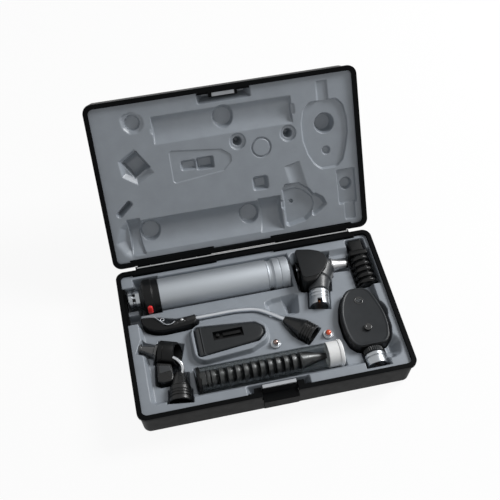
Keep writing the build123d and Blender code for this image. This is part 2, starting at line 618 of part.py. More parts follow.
# ---- sockets shared by the instrument heads ---------------------------------------------------
def head_socket(foot, top):
    """Chromed bayonet socket from its mouth at foot up to top, with its notch and contact."""
    length = hypot(top[0] - foot[0], top[1] - foot[1])
    frame = along((foot[0], foot[1], tool_z), (top[0], top[1], tool_z))
    shell = turned([(0, socket_radius - 0.5), (0.5, socket_radius), (7.4, socket_radius), (7.8, socket_radius - 0.5),
                    (8.6, socket_radius - 0.5), (9.0, socket_radius), (10.8, socket_radius),
                    (11.2, socket_radius - 0.5), (12.0, socket_radius - 0.5), (12.4, socket_radius),
                    (length - 1.6, socket_radius), (length, socket_radius - 1.2)])
    shell -= turned([(-1.0, socket_bore), (length - 3.0, socket_bore)])
    shell -= Pos(1.6, 0, socket_radius) * Box(5.2, 4.6, 6.0)
    pin = turned([(2.2, contact_radius), (length - 3.0, contact_radius)])
    return frame * shell, frame * pin


# ---- otoscope head -------------------------------------------------------------------------------
head_low = tool_z - head_thickness / 2
head_high = tool_z + head_thickness / 2
otoscope_top = (head_foot[0] + socket_length * lean_x, head_foot[1] + socket_length * lean_y)
otoscope_socket, otoscope_contact = head_socket(head_foot, otoscope_top)
save("otoscope_socket", otoscope_socket)
save("otoscope_contact", otoscope_contact)

housing = plate(head_outline(), head_low, head_high, 5.0)
housing = fillet(housing.faces().sort_by(Axis.Z)[-1].edges() + housing.faces().sort_by(Axis.Z)[0].edges(), 4.0)
neck_top = (head_foot[0] + 31.0 * lean_x, head_foot[1] + 31.0 * lean_y)
neck = rod((*otoscope_top, tool_z), (*neck_top, tool_z), socket_radius - 0.4, neck_radius)
cone_root = (speculum_root[0] - 9.0 * nose_x, speculum_root[1] + 9.0 * nose_y)
nose_cone = rod((*cone_root, tool_z), (*speculum_root, tool_z), nose_radius, 6.0)
housing = housing + neck + nose_cone
lens_centre_y = 44.5
housing -= rod((head_left - 1, lens_centre_y, tool_z), (head_left + 9.0, lens_centre_y, tool_z), 7.6)
face_plate = plate([(head_left + 1.5, head_front + 6), (head_right - 13, head_front + 6), (head_right - 1, head_front + 19),
                    (head_right - 1, head_rear - 13), (head_right - 11, head_rear - 3), (head_left + 1.5, head_rear - 3)],
                   head_high, head_high + 0.5, 3.0)
save("otoscope_housing", housing)
save("otoscope_face_plate", face_plate)

lens_radius = 9.5
lens_gap = 0.3
lens_back, lens_front = head_left - lens_room, head_left - lens_gap
lens_place = Pos(0, lens_centre_y, tool_z)
lens_frame = lens_place * turned([(lens_back, lens_radius), (lens_front, lens_radius)], bore=lens_radius - 1.8)
lug_y, lug_z = lens_centre_y - 3.5, tool_z + lens_radius + 0.9
save("otoscope_lens_frame", lens_frame + rod((lens_back, lug_y, lug_z), (lens_front, lug_y, lug_z), 2.4)
     - rod((lens_back - 1, lug_y, lug_z), (head_left + 1, lug_y, lug_z), 1.0 + pin_clearance))
save("otoscope_lens", lens_place * turned([(lens_back + 0.5, lens_radius - 1.8), (lens_front - 0.3, lens_radius - 1.8)]))
save("otoscope_lens_pivot", rod((lens_back - 0.7, lug_y, lug_z), (head_left, lug_y, lug_z), 1.0))

speculum_frame = along((*speculum_root, tool_z),
                       (speculum_root[0] + nose_x, speculum_root[1] - nose_y, tool_z))
speculum = speculum_frame * turned([(0.1, 5.4), (1.6, 5.4), (2.0, 4.8), (speculum_length - 0.6, 2.4),
                                    (speculum_length, 2.0)], bore=1.5)
save("otoscope_speculum", speculum)


# ---- ophthalmoscope ---------------------------------------------------------------------------------
ophth_low = ophth_face_z - ophth_thickness
ophth_foot = (ophth_x, ophth_foot_y)
ophth_socket_top = (ophth_x, ophth_foot_y + 11.8)
back_shell = plate(ophth_outline(), ophth_low, ophth_face_z - 1.6, 4.0)
back_shell = fillet(back_shell.faces().sort_by(Axis.Z)[0].edges(), 3.0)
cavity = plate(ophth_outline(2.2), ophth_low + 2.2, ophth_face_z, 2.5)
back_shell -= cavity
ophth_face = plate(ophth_outline(1.2), ophth_face_z - 1.5, ophth_face_z, 3.0)
ophth_face = chamfer(ophth_face.faces().sort_by(Axis.Z)[-1].edges(), 0.6)
window_y, knob_y = -0.8, -29.6
wheel_x, wheel_y = ophth_x + 9.0, -13.0
wheel_radius = 13.6
axle_radius = 1.5
knob_radius = 3.4
for y, r in ((window_y, 3.2), (knob_y, 1.6)):
    ophth_face -= Pos(ophth_x, y, ophth_face_z) * Cylinder(r, 10)
back_shell -= Pos(wheel_x, wheel_y, ophth_low + 9.0) * Cylinder(wheel_radius + 0.5, 8.0)
back_shell += Pos(wheel_x, wheel_y, ophth_low + 1.5) * extrude(Circle(axle_radius), amount=ophth_thickness - 3.2)
save("ophthalmoscope_back_shell", back_shell)
save("ophthalmoscope_face", ophth_face)
window_ring = Pos(ophth_x, window_y, ophth_face_z - 0.7) * (Cylinder(3.1, 1.4) - Cylinder(2.1, 3))
save("ophthalmoscope_window_ring", window_ring)
save("ophthalmoscope_window", Pos(ophth_x, window_y, ophth_face_z - 0.9) * Cylinder(2.05, 0.8))
knob = Pos(ophth_x, knob_y, ophth_face_z + 0.2) * extrude(Circle(knob_radius), amount=2.2)
knob += Pos(ophth_x, knob_y, ophth_face_z - 2.6) * extrude(Circle(1.55), amount=2.9)
save("aperture_knob", knob)
wheel = Pos(wheel_x, wheel_y, ophth_low + 9.0) * Cylinder(wheel_radius, 6.6)
wheel -= Pos(wheel_x, wheel_y, ophth_low + 9.0) * Cylinder(axle_radius + pin_clearance, 20)
save("lens_wheel", wheel)
ophth_axis = along((*ophth_foot, tool_z), (ophth_x, ophth_foot_y + 1, tool_z))
collar_top = ophth_face_front - ophth_foot_y
ophth_shell = turned([(0, socket_radius - 0.5), (0.5, socket_radius), (6.2, socket_radius), (6.6, socket_radius - 0.5),
                      (7.4, socket_radius - 0.5), (7.8, socket_radius), (10.4, socket_radius), (11.8, socket_radius - 1.2)])
ophth_shell -= turned([(-1.0, socket_bore), (9.8, socket_bore)])
ophth_shell -= Pos(1.6, 0, socket_radius) * Box(5.2, 4.6, 6.0)
save("ophthalmoscope_socket", ophth_axis * ophth_shell)
save("ophthalmoscope_contact", ophth_axis * turned([(2.2, contact_radius), (9.8, contact_radius)]))
save("ophthalmoscope_collar", ophth_axis * turned([(11.9, socket_radius - 1.4), (12.4, socket_radius - 0.8),
                                                    (collar_top - 0.1, socket_radius - 0.8)]))


# ---- throat lamp ------------------------------------------------------------------------------------------
holder_outline = [(-104.2, 24.6), (-103.6, 18.0), (-99.0, 12.6), (-92.5, 9.2), (-86.0, 8.0), (-66.0, 8.6),
                  (-58.5, 9.8), (-56.0, 12.6), (-56.0, 18.8), (-69.3, 17.4), (-78.6, 15.0), (-82.2, 11.4),
                  (-88.1, 17.2), (-92.7, 23.2)]
holder_top = throat_z + 4.5
holder = plate(holder_outline, throat_z - 7.5, holder_top, 1.2)
save("blade_holder", holder)
clip = Plane.XY.offset(throat_z - 2.0) * extrude(
    trace(Polyline((-101.0, 24.58), (-92.5, 23.55), (-87.82, 17.45), (-83.2, 12.9)), line_width=0.7), amount=8.0)
save("blade_clip", clip)
screw_x, screw_y = -68.5, 15.0
save("clip_screw", Pos(screw_x, screw_y, holder_top) * extrude(Circle(1.5), amount=0.9))
tube_line = FilletPolyline(*[(x, y, throat_z) for x, y in throat_route], radius=throat_bends)
save("throat_tube", sweep(Plane(origin=tube_line @ 0, z_dir=tube_line % 0) * Circle(throat_radius), path=tube_line))
throat_axis = along((*throat_route[-1], throat_z), (*throat_mouth, throat_z))
throat_length = hypot(throat_mouth[0] - throat_route[-1][0], throat_mouth[1] - throat_route[-1][1])
throat_socket = turned([(0.05, 3.0), (throat_length - 12.0, 7.8), (throat_length - 9.0, socket_radius),
                        (throat_length, socket_radius - 0.4)])
throat_socket -= turned([(throat_length - 8.0, socket_bore), (throat_length + 1, socket_bore)])
save("throat_lamp_socket", throat_axis * throat_socket)


# ---- operating head ---------------------------------------------------------------------------------------
barrel_axis = along((*barrel_start, operating_z), (*barrel_end, operating_z))
barrel_length = hypot(barrel_end[0] - barrel_start[0], barrel_end[1] - barrel_start[1])
barrel = turned([(4.6, barrel_radius), (barrel_length - 1.0, barrel_radius), (barrel_length, barrel_radius - 0.8)],
                bore=barrel_radius - 2.0)
scale_ring = turned([(0.4, barrel_radius - 0.6), (1.0, barrel_radius), (4.5, barrel_radius)], bore=barrel_radius - 2.0)
save("operating_barrel", barrel_axis * barrel)
save("operating_scale_ring", barrel_axis * scale_ring)
tip_axis = along((*operating_tip, operating_z), (*barrel_start, operating_z))
tip_length = hypot(barrel_start[0] - operating_tip[0], barrel_start[1] - operating_tip[1])
save("operating_speculum", tip_axis * turned([(0, 4.4), (1.4, 4.6), (1.5, 3.4), (tip_length - 3.0, 6.4),
                                              (tip_length - 0.2, barrel_radius - 2.2)], bore=2.4))
operating_axis = along((*operating_foot, operating_z), (*operating_top, operating_z))
operating_length = hypot(operating_top[0] - operating_foot[0], operating_top[1] - operating_foot[1])
ribs = [(0, socket_radius - 0.6), (0.6, socket_radius)]
for i in range(3):
    x = 3.4 + 2.6 * i
    ribs += [(x, socket_radius), (x + 0.4, socket_radius - 0.6), (x + 1.0, socket_radius - 0.6), (x + 1.4, socket_radius)]
ribs += [(13.4, socket_radius), (14.0, socket_radius - 0.6)]
operating_socket = turned(ribs) - turned([(-1, socket_bore), (12.0, socket_bore)])
save("operating_socket", operating_axis * operating_socket)
save("operating_taper", operating_axis * turned([(14.1, socket_radius - 0.6), (operating_length, 5.0)]))
arm = block(-97.5, -86.0, -45.0, -29.0, operating_z - 8.0, operating_z + 5.0)
arm += block(-90.0, -80.5, -45.0, -25.0, operating_z - 6.0, operating_z + 1.0)
arm -= barrel_axis * turned([(-1, barrel_radius + joint_gap), (barrel_length + 1, barrel_radius + joint_gap)])
arm -= operating_axis * turned([(12.0, socket_radius + joint_gap), (14.0, socket_radius - 0.5),
                                (operating_length + joint_gap, 5.0 + joint_gap)])
save("operating_bracket", arm)
light_line = Spline((-80.5, -19.5, tool_z + 8.6), (-77.2, -25.0, tool_z + 9.2), (-76.0, -30.0, tool_z + 7.4),
                    (-77.6, -35.0, tool_z + 2.6))
light_tube = sweep(Plane(origin=light_line @ 0, z_dir=light_line % 0) * Circle(light_tube_radius), path=light_line)
light_tube -= barrel_axis * turned([(-1, barrel_radius + 0.02), (barrel_length + 1, barrel_radius + 0.02)])
light_tube -= operating_axis * turned([(14.0, socket_radius - 0.5), (operating_length + 0.02, 5.05)])
save("operating_light_tube", light_tube)


# ---- disposable specula and their tube ---------------------------------------------------------------------
def on_tube(shape):
    """Place a solid drawn along X on the specula tube's axis."""
    return Pos(0, specula_tube_y, tool_z) * shape


tube_inner = specula_tube_radius - specula_tube_wall
save("specula_tube", on_tube(turned([(specula_tube_left + 3.2, specula_tube_radius),
                                     (specula_tube_right, specula_tube_radius)], bore=tube_inner)))
save("specula_tube_foot", on_tube(turned([(specula_tube_left, tube_cap_radius), (specula_tube_left + 3.1, tube_cap_radius)])))
stack = []
for i in range(specula_in_tube):
    x = specula_tube_left + 12.0 + specula_pitch * i
    stack.append(on_tube(turned([(x, 8.6), (x + 1.2, 8.6), (x + 1.4, 7.4), (x + specula_pitch - 0.6, 6.2)], bore=5.0)))
tip_x = specula_tube_left + 12.0 + specula_pitch * specula_in_tube
stack.append(on_tube(turned([(tip_x, 8.6), (tip_x + 1.2, 8.6), (tip_x + 1.4, 7.2), (tip_x + 24.0, 2.2)])))
save("disposable_specula", Compound(children=stack))
cap_left = specula_tube_right + 0.1 - 3.5
tube_cap = turned([(cap_left, tube_cap_radius), (cap_left + tube_cap_length - 3.6, tube_cap_radius),
                   (cap_left + tube_cap_length - 3.4, tube_cap_radius + 0.6),
                   (cap_left + tube_cap_length - 0.4, tube_cap_radius + 0.6), (cap_left + tube_cap_length, tube_cap_radius)])
tube_cap -= turned([(cap_left - 1, specula_tube_radius + 0.06), (specula_tube_right + 0.1, specula_tube_radius + 0.06)])
save("tube_cap", on_tube(tube_cap))


# ---- reusable specula ---------------------------------------------------------------------------------------
stack_axis = along((stack_x, stack_front, tool_z), (stack_x, stack_front + 1, tool_z))
nested = []
nested_count = 5
for i in range(nested_count):
    y = 0.2 + stack_pitch * i
    nested.append(stack_axis * turned([(y, stack_radius - 1.4), (y + 1.6, stack_radius), (y + 3.0, stack_radius),
                                       (y + stack_pitch - 0.2, stack_radius - 1.8)], bore=4.2))
save("reusable_specula", Compound(children=nested))
post = stack_axis * turned([(0.2, 4.1), (stack_pitch * nested_count + 0.4, 4.1)])
grip_start = stack_front + stack_pitch * nested_count + 0.4
grip = rounded_block(stack_x - 8.8, stack_x + 8.8, grip_start, stack_rear, tool_z - 7.0, tool_z + 7.0, 2.0)
grip += rounded_block(stack_x - 6.6, stack_x + 6.6, stack_rear - 3, stack_grip_rear, tool_z - 6.0, tool_z + 5.5, 1.5)
save("specula_holder", post + grip)


# ---- cover and spare lamps ---------------------------------------------------------------------------------------
cover_low = border_z - cover_height + 1.2
cover = plate(cover_outline(), cover_low, cover_low + cover_height, 2.4)
cover = fillet(cover.faces().sort_by(Axis.Z)[-1].edges(), 1.4)
insert_x0, insert_x1 = -45.0, -18.5
insert_y0, insert_y1 = -12.4, -3.8
cover -= rounded_block(insert_x0, insert_x1, insert_y0, insert_y1, cover_low + 3.0, 60, 1.0)
save("lamp_box", cover)
insert = rounded_block(insert_x0 + 0.1, insert_x1 - 0.1, insert_y0 + 0.1, insert_y1 - 0.1, cover_low + 3.0,
                       cover_low + 4.6, 0.9)
insert += Pos(-41.0, -6.4, cover_low + 4.0) * extrude(Circle(1.8), amount=3.4)
insert += block(-36.5, -20.0, -8.2, -4.6, cover_low + 4.0, cover_low + 6.6)
save("lamp_box_insert", insert)
for (x, y), name in zip(lamp_places, ("spare_lamp_a", "spare_lamp_b")):
    sleeve = Pos(x, y, field_z - 3.6) * extrude(Circle(2.3), amount=3.9)
    sleeve += Pos(x, y, field_z + 0.3) * extrude(Circle(lamp_flange_radius), amount=1.2)
    sleeve += Pos(x, y, field_z + 1.5) * extrude(Circle(2.6), amount=2.0)
    save(name + "_sleeve", sleeve)
    bulb = Pos(x, y, field_z + 3.55) * extrude(Circle(2.2), amount=2.6)
    bulb = fillet(bulb.faces().sort_by(Axis.Z)[-1].edges(), 1.6)
    save(name + "_bulb", bulb)
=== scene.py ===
import bpy
import math
import numpy as np
from mathutils import Matrix, Vector


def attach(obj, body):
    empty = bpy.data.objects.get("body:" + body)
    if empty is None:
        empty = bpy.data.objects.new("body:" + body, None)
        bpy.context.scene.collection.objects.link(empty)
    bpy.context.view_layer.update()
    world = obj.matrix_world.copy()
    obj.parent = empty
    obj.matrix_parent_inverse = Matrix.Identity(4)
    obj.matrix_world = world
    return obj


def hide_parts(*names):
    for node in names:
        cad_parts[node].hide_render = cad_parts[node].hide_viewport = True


# Otoscope carry case, open, with its examination set in the recesses.
# Lengths in this file are millimetres; MM turns them into Blender's metres.
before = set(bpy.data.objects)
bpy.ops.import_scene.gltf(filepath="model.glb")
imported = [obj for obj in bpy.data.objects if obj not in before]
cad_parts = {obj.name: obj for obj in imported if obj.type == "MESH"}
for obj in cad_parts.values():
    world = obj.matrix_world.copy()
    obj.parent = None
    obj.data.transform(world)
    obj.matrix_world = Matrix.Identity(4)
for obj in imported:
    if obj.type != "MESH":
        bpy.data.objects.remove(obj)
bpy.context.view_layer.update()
MM = 0.001


# ---- room: white sweep, soft box and camera ---------------------------------------
# A white laminated sweep under a large soft box at the rear right, as a catalogue
# bench has; the sweep carries the object's soft shadow.
def shade(code):
    """sRGB hex code as linear RGBA."""
    parts = [int(code[i:i + 2], 16) / 255 for i in (1, 3, 5)]
    return tuple(c / 12.92 if c <= 0.04045 else ((c + 0.055) / 1.055) ** 2.4 for c in parts) + (1.0,)


def feed(tree, node, inputs):
    """Give a node's input sockets their values or links."""
    for name, value in inputs.items():
        socket = node.inputs[name]
        if isinstance(value, bpy.types.NodeSocket):
            tree.links.new(value, socket)
        else:
            socket.default_value = value


def add_node(tree, kind, settings=None, inputs=None):
    """Add one shader node with its settings, then its input values or links."""
    made = tree.nodes.new(kind)
    for name, value in (settings or {}).items():
        setattr(made, name, value)
    feed(tree, made, inputs or {})
    return made


scene = bpy.context.scene
scene.view_settings.view_transform = "Standard"

sweep_mesh = bpy.data.meshes.new("sweep")
sweep_half, sweep_level = 6.0, -0.0004
sweep_corners = [(x * sweep_half, y * sweep_half, sweep_level) for x, y in ((-1, -1), (1, -1), (1, 1), (-1, 1))]
sweep_mesh.from_pydata(sweep_corners, [], [(0, 1, 2, 3)])
sweep = bpy.data.objects.new("sweep", sweep_mesh)
scene.collection.objects.link(sweep)
laminate = bpy.data.materials.new("white_laminate")
laminate.use_nodes = True
tree = laminate.node_tree
tree.nodes.clear()
paths = add_node(tree, "ShaderNodeLightPath")
seen = add_node(tree, "ShaderNodeMath", {"operation": "MAXIMUM"},
                {0: paths.outputs["Is Camera Ray"], 1: paths.outputs["Is Glossy Ray"]})
seen = add_node(tree, "ShaderNodeMath", {"operation": "MAXIMUM"},
                {0: seen.outputs[0], 1: paths.outputs["Is Transmission Ray"]})
part_lit = add_node(tree, "ShaderNodeMath", {"operation": "MULTIPLY"}, {0: seen.outputs[0], 1: 0.92})
matt = add_node(tree, "ShaderNodeBsdfDiffuse", None, {"Color": shade("#f4f4f4")})
glow = add_node(tree, "ShaderNodeEmission", None, {"Color": (1, 1, 1, 1), "Strength": 1.0})
both = add_node(tree, "ShaderNodeMixShader", None, {0: part_lit.outputs[0], 1: matt.outputs[0], 2: glow.outputs[0]})
add_node(tree, "ShaderNodeOutputMaterial", None, {"Surface": both.outputs[0]})
sweep_mesh.materials.append(laminate)

world = bpy.data.worlds.new("studio")
scene.world = world
world.use_nodes = True
tree = world.node_tree
tree.nodes.clear()
paths = add_node(tree, "ShaderNodeLightPath")
sky_place = add_node(tree, "ShaderNodeTexCoord")
sky_axes = add_node(tree, "ShaderNodeSeparateXYZ", None, {0: sky_place.outputs["Generated"]})
grade = add_node(tree, "ShaderNodeMapRange", {"interpolation_type": "SMOOTHSTEP"},
                 {"Value": sky_axes.outputs[1], "From Min": -1.0, "From Max": 1.0, "To Min": 0.36, "To Max": 0.22})
mirrored = add_node(tree, "ShaderNodeMath", {"operation": "MAXIMUM"},
                    {0: paths.outputs["Is Glossy Ray"], 1: paths.outputs["Is Transmission Ray"]})
mirrored = add_node(tree, "ShaderNodeMath", {"operation": "MULTIPLY"}, {0: mirrored.outputs[0], 1: 0.7})
to_lens = add_node(tree, "ShaderNodeMath", {"operation": "MAXIMUM"},
                   {0: mirrored.outputs[0], 1: paths.outputs["Is Camera Ray"]})
to_lens = add_node(tree, "ShaderNodeMath", {"operation": "MAXIMUM"}, {0: grade.outputs[0], 1: to_lens.outputs[0]})
sky = add_node(tree, "ShaderNodeBackground", None, {"Color": shade("#ffffff"), "Strength": to_lens.outputs[0]})
add_node(tree, "ShaderNodeOutputWorld", None, {"Surface": sky.outputs[0]})


def soft_box(name, place, aim, size, watts):
    """Square soft light in metres, turned to face a point."""
    lamp = bpy.data.lights.new(name, "AREA")
    lamp.shape = "SQUARE"
    lamp.size = size
    lamp.energy = watts
    holder = bpy.data.objects.new(name, lamp)
    holder.location = place
    holder.rotation_euler = (Vector(aim) - Vector(place)).to_track_quat("-Z", "Y").to_euler()
    scene.collection.objects.link(holder)


soft_box("key_box", (1.15, 0.30, 1.0), (0.0, 0.03, 0.05), 0.5, 20.0)

camera_turn, camera_height, camera_roll = math.radians(-12.611), math.radians(57.134), math.radians(0.139)
camera_target = Vector((0.92, 27.32, 32.0)) * MM
camera_distance = 730.9 * MM
back = Vector((math.sin(camera_turn) * math.cos(camera_height), -math.cos(camera_turn) * math.cos(camera_height),
               math.sin(camera_height)))
level = Vector((math.cos(camera_turn), math.sin(camera_turn), 0.0))
upward = back.cross(level)
across = level * math.cos(camera_roll) + upward * math.sin(camera_roll)
camera = bpy.data.objects.new("camera", bpy.data.cameras.new("camera"))
camera.matrix_world = (Matrix.Translation(camera_target + back * camera_distance)
                       @ Matrix((across, back.cross(across), back)).transposed().to_4x4())
camera.data.sensor_width = 36.0
camera.data.lens = 58.82
camera.data.shift_x = -0.012
camera.data.shift_y = 0.084
camera.data.clip_start = 0.01
scene.collection.objects.link(camera)
scene.camera = camera


# ---- case halves ------------------------------------------------------------------
# Injection-moulded black ABS with a fine spark-eroded grain: a low broad gloss with
# slow changes of tone.
def principled(name):
    """New material with its node tree, its surface shader and its texture coordinates."""
    material = bpy.data.materials.new(name)
    material.use_nodes = True
    tree = material.node_tree
    return material, tree, tree.nodes["Principled BSDF"], add_node(tree, "ShaderNodeTexCoord").outputs["Object"]


def noise(tree, place, step, detail, rough=0.5):
    """Noise with features of a given size in millimetres."""
    return add_node(tree, "ShaderNodeTexNoise", None, {"Vector": place, "Scale": 1 / (step * MM), "Detail": detail,
                                                       "Roughness": rough}).outputs[0]


def remap(tree, value, low, high, to_low, to_high):
    """Carry a value from one range to another."""
    return add_node(tree, "ShaderNodeMapRange", None, {"Value": value, "From Min": low, "From Max": high,
                                                       "To Min": to_low, "To Max": to_high}).outputs[0]


def tinted(tree, code, value):
    """Colour whose brightness follows a value."""
    return add_node(tree, "ShaderNodeHueSaturation", None, {"Color": shade(code), "Value": value}).outputs[0]


def relief_of(tree, height, distance, strength):
    """Fine relief of a given depth in millimetres."""
    return add_node(tree, "ShaderNodeBump", None, {"Height": height, "Distance": distance * MM,
                                                   "Strength": strength}).outputs[0]


def plastic(name, code, rough, grain=0.35, relief=0.02, vary=0.05, coat=0.0, specular=0.5):
    """Moulded plastic: flat colour with slow tone changes, patchy gloss and a fine eroded grain."""
    material, tree, surface, place = principled(name)
    slow = noise(tree, place, 9, 4.0, 0.6)
    tone = remap(tree, slow, 0.3, 0.7, 1 - vary, 1 + vary)
    colour = tinted(tree, code, tone)
    gloss = remap(tree, slow, 0.3, 0.7, rough * 0.88, min(1.0, rough * 1.12))
    bump = relief_of(tree, noise(tree, place, grain, 2.0), relief, 0.6)
    feed(tree, surface, {"Base Color": colour, "Roughness": gloss, "Normal": bump, "Specular IOR Level": specular,
                         "Coat Weight": coat, "Coat Roughness": 0.15})
    return material


def finish_node(node, material):
    """Give a carried-over piece its material."""
    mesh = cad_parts[node].data
    mesh.materials.clear()
    mesh.materials.append(material)


case_abs = plastic("moulded_abs_black", "#0b0c0d", 0.42, grain=0.5, relief=0.03, specular=0.05)
for node in ("base_shell", "lid_shell"):
    finish_node(node, case_abs)


# ---- base tray --------------------------------------------------------------------
# Vacuum-formed polystyrene sheet in slate grey: drafted walls, soft edges where the
# sheet stretched over the mould, and a fine grain under a thin gloss that lights them.
sheet_step = 0.4
sheet_half_x, sheet_half_y = 115.7, 70.2
tray_top, field_level = 29.0, 23.0
tool_level, channel_level = 24.0, 25.2   # axes of the stored tools, centres of their channels


def plan(half_x, half_y, spacing):
    """Grid of plan positions."""
    xs = np.linspace(-half_x, half_x, int(2 * half_x / spacing) + 1)
    ys = np.linspace(-half_y, half_y, int(2 * half_y / spacing) + 1)
    return np.meshgrid(xs, ys, indexing="ij")


def lower(a, b, blend):
    """Smooth minimum of two heights."""
    h = np.clip(0.5 + 0.5 * (b - a) / blend, 0.0, 1.0)
    return b + (a - b) * h - blend * h * (1 - h)


def in_box(x0, x1, y0, y1, corner=2.0, turn=0.0):
    """How far each plan point lies inside a rounded rectangle."""
    u, v = X - (x0 + x1) / 2, Y - (y0 + y1) / 2
    c, s = math.cos(turn), math.sin(turn)
    p = np.abs(u * c + v * s) - (x1 - x0) / 2 + corner
    q = np.abs(v * c - u * s) - (y1 - y0) / 2 + corner
    return corner - np.hypot(np.maximum(p, 0), np.maximum(q, 0)) - np.minimum(np.maximum(p, q), 0)


def in_disc(x, y, radius):
    """How far each plan point lies inside a circle."""
    return radius - np.hypot(X - x, Y - y)


def in_outline(points, corner=0.0):
    """How far each plan point lies inside a polygon whose corners are rounded."""
    points = [Vector(p) for p in points]
    count = len(points)
    area = sum(points[i].x * points[(i + 1) % count].y - points[(i + 1) % count].x * points[i].y for i in range(count))
    if area < 0:
        points.reverse()
    moved = []
    for i in range(count):
        before = (points[i] - points[i - 1]).normalized()
        after = (points[(i + 1) % count] - points[i]).normalized()
        n0, n1 = Vector((-before.y, before.x)), Vector((-after.y, after.x))
        moved.append(points[i] + (n0 + n1) * corner / max(0.35, 1 + n0.dot(n1)))
    far = np.full(X.shape, 1e9)
    inside = np.zeros(X.shape, bool)
    for i in range(count):
        a, b = moved[i], moved[(i + 1) % count]
        ex, ey = b.x - a.x, b.y - a.y
        t = np.clip(((X - a.x) * ex + (Y - a.y) * ey) / max(1e-9, ex * ex + ey * ey), 0, 1)
        far = np.minimum(far, np.hypot(X - a.x - t * ex, Y - a.y - t * ey))
        crosses = ((a.y > Y) != (b.y > Y)) & (X < ex * (Y - a.y) / (ey if ey else 1e-9) + a.x)
        inside ^= crosses
    return np.where(inside, far, -far) + corner


def bar_frame(start, end):
    """Distance along and across a bar's centre line for each plan point, and its length."""
    a, b = Vector(start), Vector(end)
    way = (b - a).normalized()
    along = (X - a.x) * way.x + (Y - a.y) * way.y
    return along, (Y - a.y) * way.x - (X - a.x) * way.y, (b - a).length


def sink(height, depth, floor, top=field_level, slope=5.0, foot=1.2, edge=0.9):
    """Press a drafted, soft-edged recess into a height map."""
    recess = -lower(slope * depth - top, -floor, foot)
    height[:] = lower(height, recess, edge)


def trough(height, start, end, radius, axis=channel_level, top=field_level, slope=5.0, foot=1.0, edge=0.9):
    """Press a round-bottomed channel for a bar into a height map."""
    along, across, length = bar_frame(start, end)
    off = np.abs(across)
    bowl = np.where(off < radius, axis - np.sqrt(np.maximum(radius ** 2 - off ** 2, 0)), axis + slope * (off - radius))
    ends = np.minimum(along, length - along)
    recess = -lower(slope * ends - top, -bowl, foot)
    height[:] = lower(height, recess, edge)


def pressed_sheet(name, height, keep):
    """Mesh of a height map where keep is true, in millimetres turned to metres."""
    nx, ny = X.shape
    spots = np.stack([X, Y, height], axis=-1).reshape(-1, 3) * MM
    index = np.arange(nx * ny).reshape(nx, ny)
    quads = np.stack([index[:-1, :-1], index[1:, :-1], index[1:, 1:], index[:-1, 1:]], axis=-1)
    whole = keep[:-1, :-1] & keep[1:, :-1] & keep[1:, 1:] & keep[:-1, 1:]
    quads = quads[whole]
    used = np.unique(quads)
    renumber = np.zeros(nx * ny, int)
    renumber[used] = np.arange(len(used))
    quads = renumber[quads]
    mesh = bpy.data.meshes.new(name)
    mesh.vertices.add(len(used))
    mesh.vertices.foreach_set("co", spots[used].ravel())
    mesh.loops.add(quads.size)
    mesh.loops.foreach_set("vertex_index", quads.ravel())
    mesh.polygons.add(len(quads))
    mesh.polygons.foreach_set("loop_start", np.arange(0, quads.size, 4))
    mesh.polygons.foreach_set("use_smooth", np.ones(len(quads), bool))
    mesh.update(calc_edges=True)
    made = bpy.data.objects.new(name, mesh)
    scene.collection.objects.link(made)
    return made


X, Y = plan(sheet_half_x, sheet_half_y, sheet_step)
hinge_pads = (np.abs(np.abs(X) - 65.5) < 38.6) & (Y > 68.8)   # left out of both sheets, for the hinge
tray = np.full(X.shape, tray_top)
sink(tray, in_box(-107.0, 107.2, -61.0, 60.0, 5.0), field_level, tray_top, slope=1.7, foot=1.6)
island = in_outline([(-65.0, -31.0), (-14.0, -27.4), (3.4, -19.5), (3.4, -0.5), (-14.0, 7.2), (-65.0, 8.6)], 11.0)
rise = np.clip((island + 0.8) / 2.6, 0, 1)
tray = np.maximum(tray, field_level + (tray_top - field_level) * rise * rise * (3 - 2 * rise))
# handle: tube trough, collar, coupling well and the neck at its left end
trough(tray, (-99.0, 47.8), (37.2, 47.8), 16.4)
trough(tray, (-106.0, 47.8), (-82.6, 47.8), 17.8, top=tray_top)
sink(tray, in_box(-124.0, -97.0, 34.6, 58.2, 3.0), 12.0, tray_top)
sink(tray, in_box(-124.0, -102.0, 19.4, 36.5, 3.0), 22.6, tray_top)
sink(tray, in_box(-124.0, -103.5, 20.2, 32.2, 3.0), 14.0, 22.6)
# otoscope head: housing, neck, socket, nose and speculum
housing_well = [(40.6, 23.0), (60.0, 23.0), (72.6, 36.0), (72.6, 50.0), (60.5, 63.0), (40.6, 63.0)]
sink(tray, in_outline(housing_well, 5.0), 10.0)
trough(tray, (54.0, 3.0), (59.4, 28.5), 10.6)
trough(tray, (58.0, 21.5), (60.8, 34.0), 12.4)
trough(tray, (62.4, 46.8), (75.8, 45.9), 13.0)
trough(tray, (67.4, 46.5), (93.6, 44.6), 7.6)
# ophthalmoscope: shield, thumbwheel bay and socket
shield = [(75.2, -47.9), (69.1, -41.4), (66.5, -30.2), (66.5, -14.2), (69.9, -1.3), (74.8, 8.2), (81.0, 14.0),
          (96.0, 14.0), (102.2, 8.2), (105.9, -3.6), (108.7, -16.8), (108.7, -29.8), (106.0, -41.6), (100.5, -47.9)]
sink(tray, in_outline(shield, 5.0), 10.0)
sink(tray, in_disc(97.0, -13.0, 14.4), 14.5, tray_top)
trough(tray, (88.0, -65.6), (88.0, -43.0), 10.6)
collar_side = [(99.0, -43.0), (105.0, -43.0), (107.0, -46.8), (105.4, -54.4), (100.0, -54.0)]
sink(tray, in_outline(collar_side, 2.0), 20.4, slope=1.0)
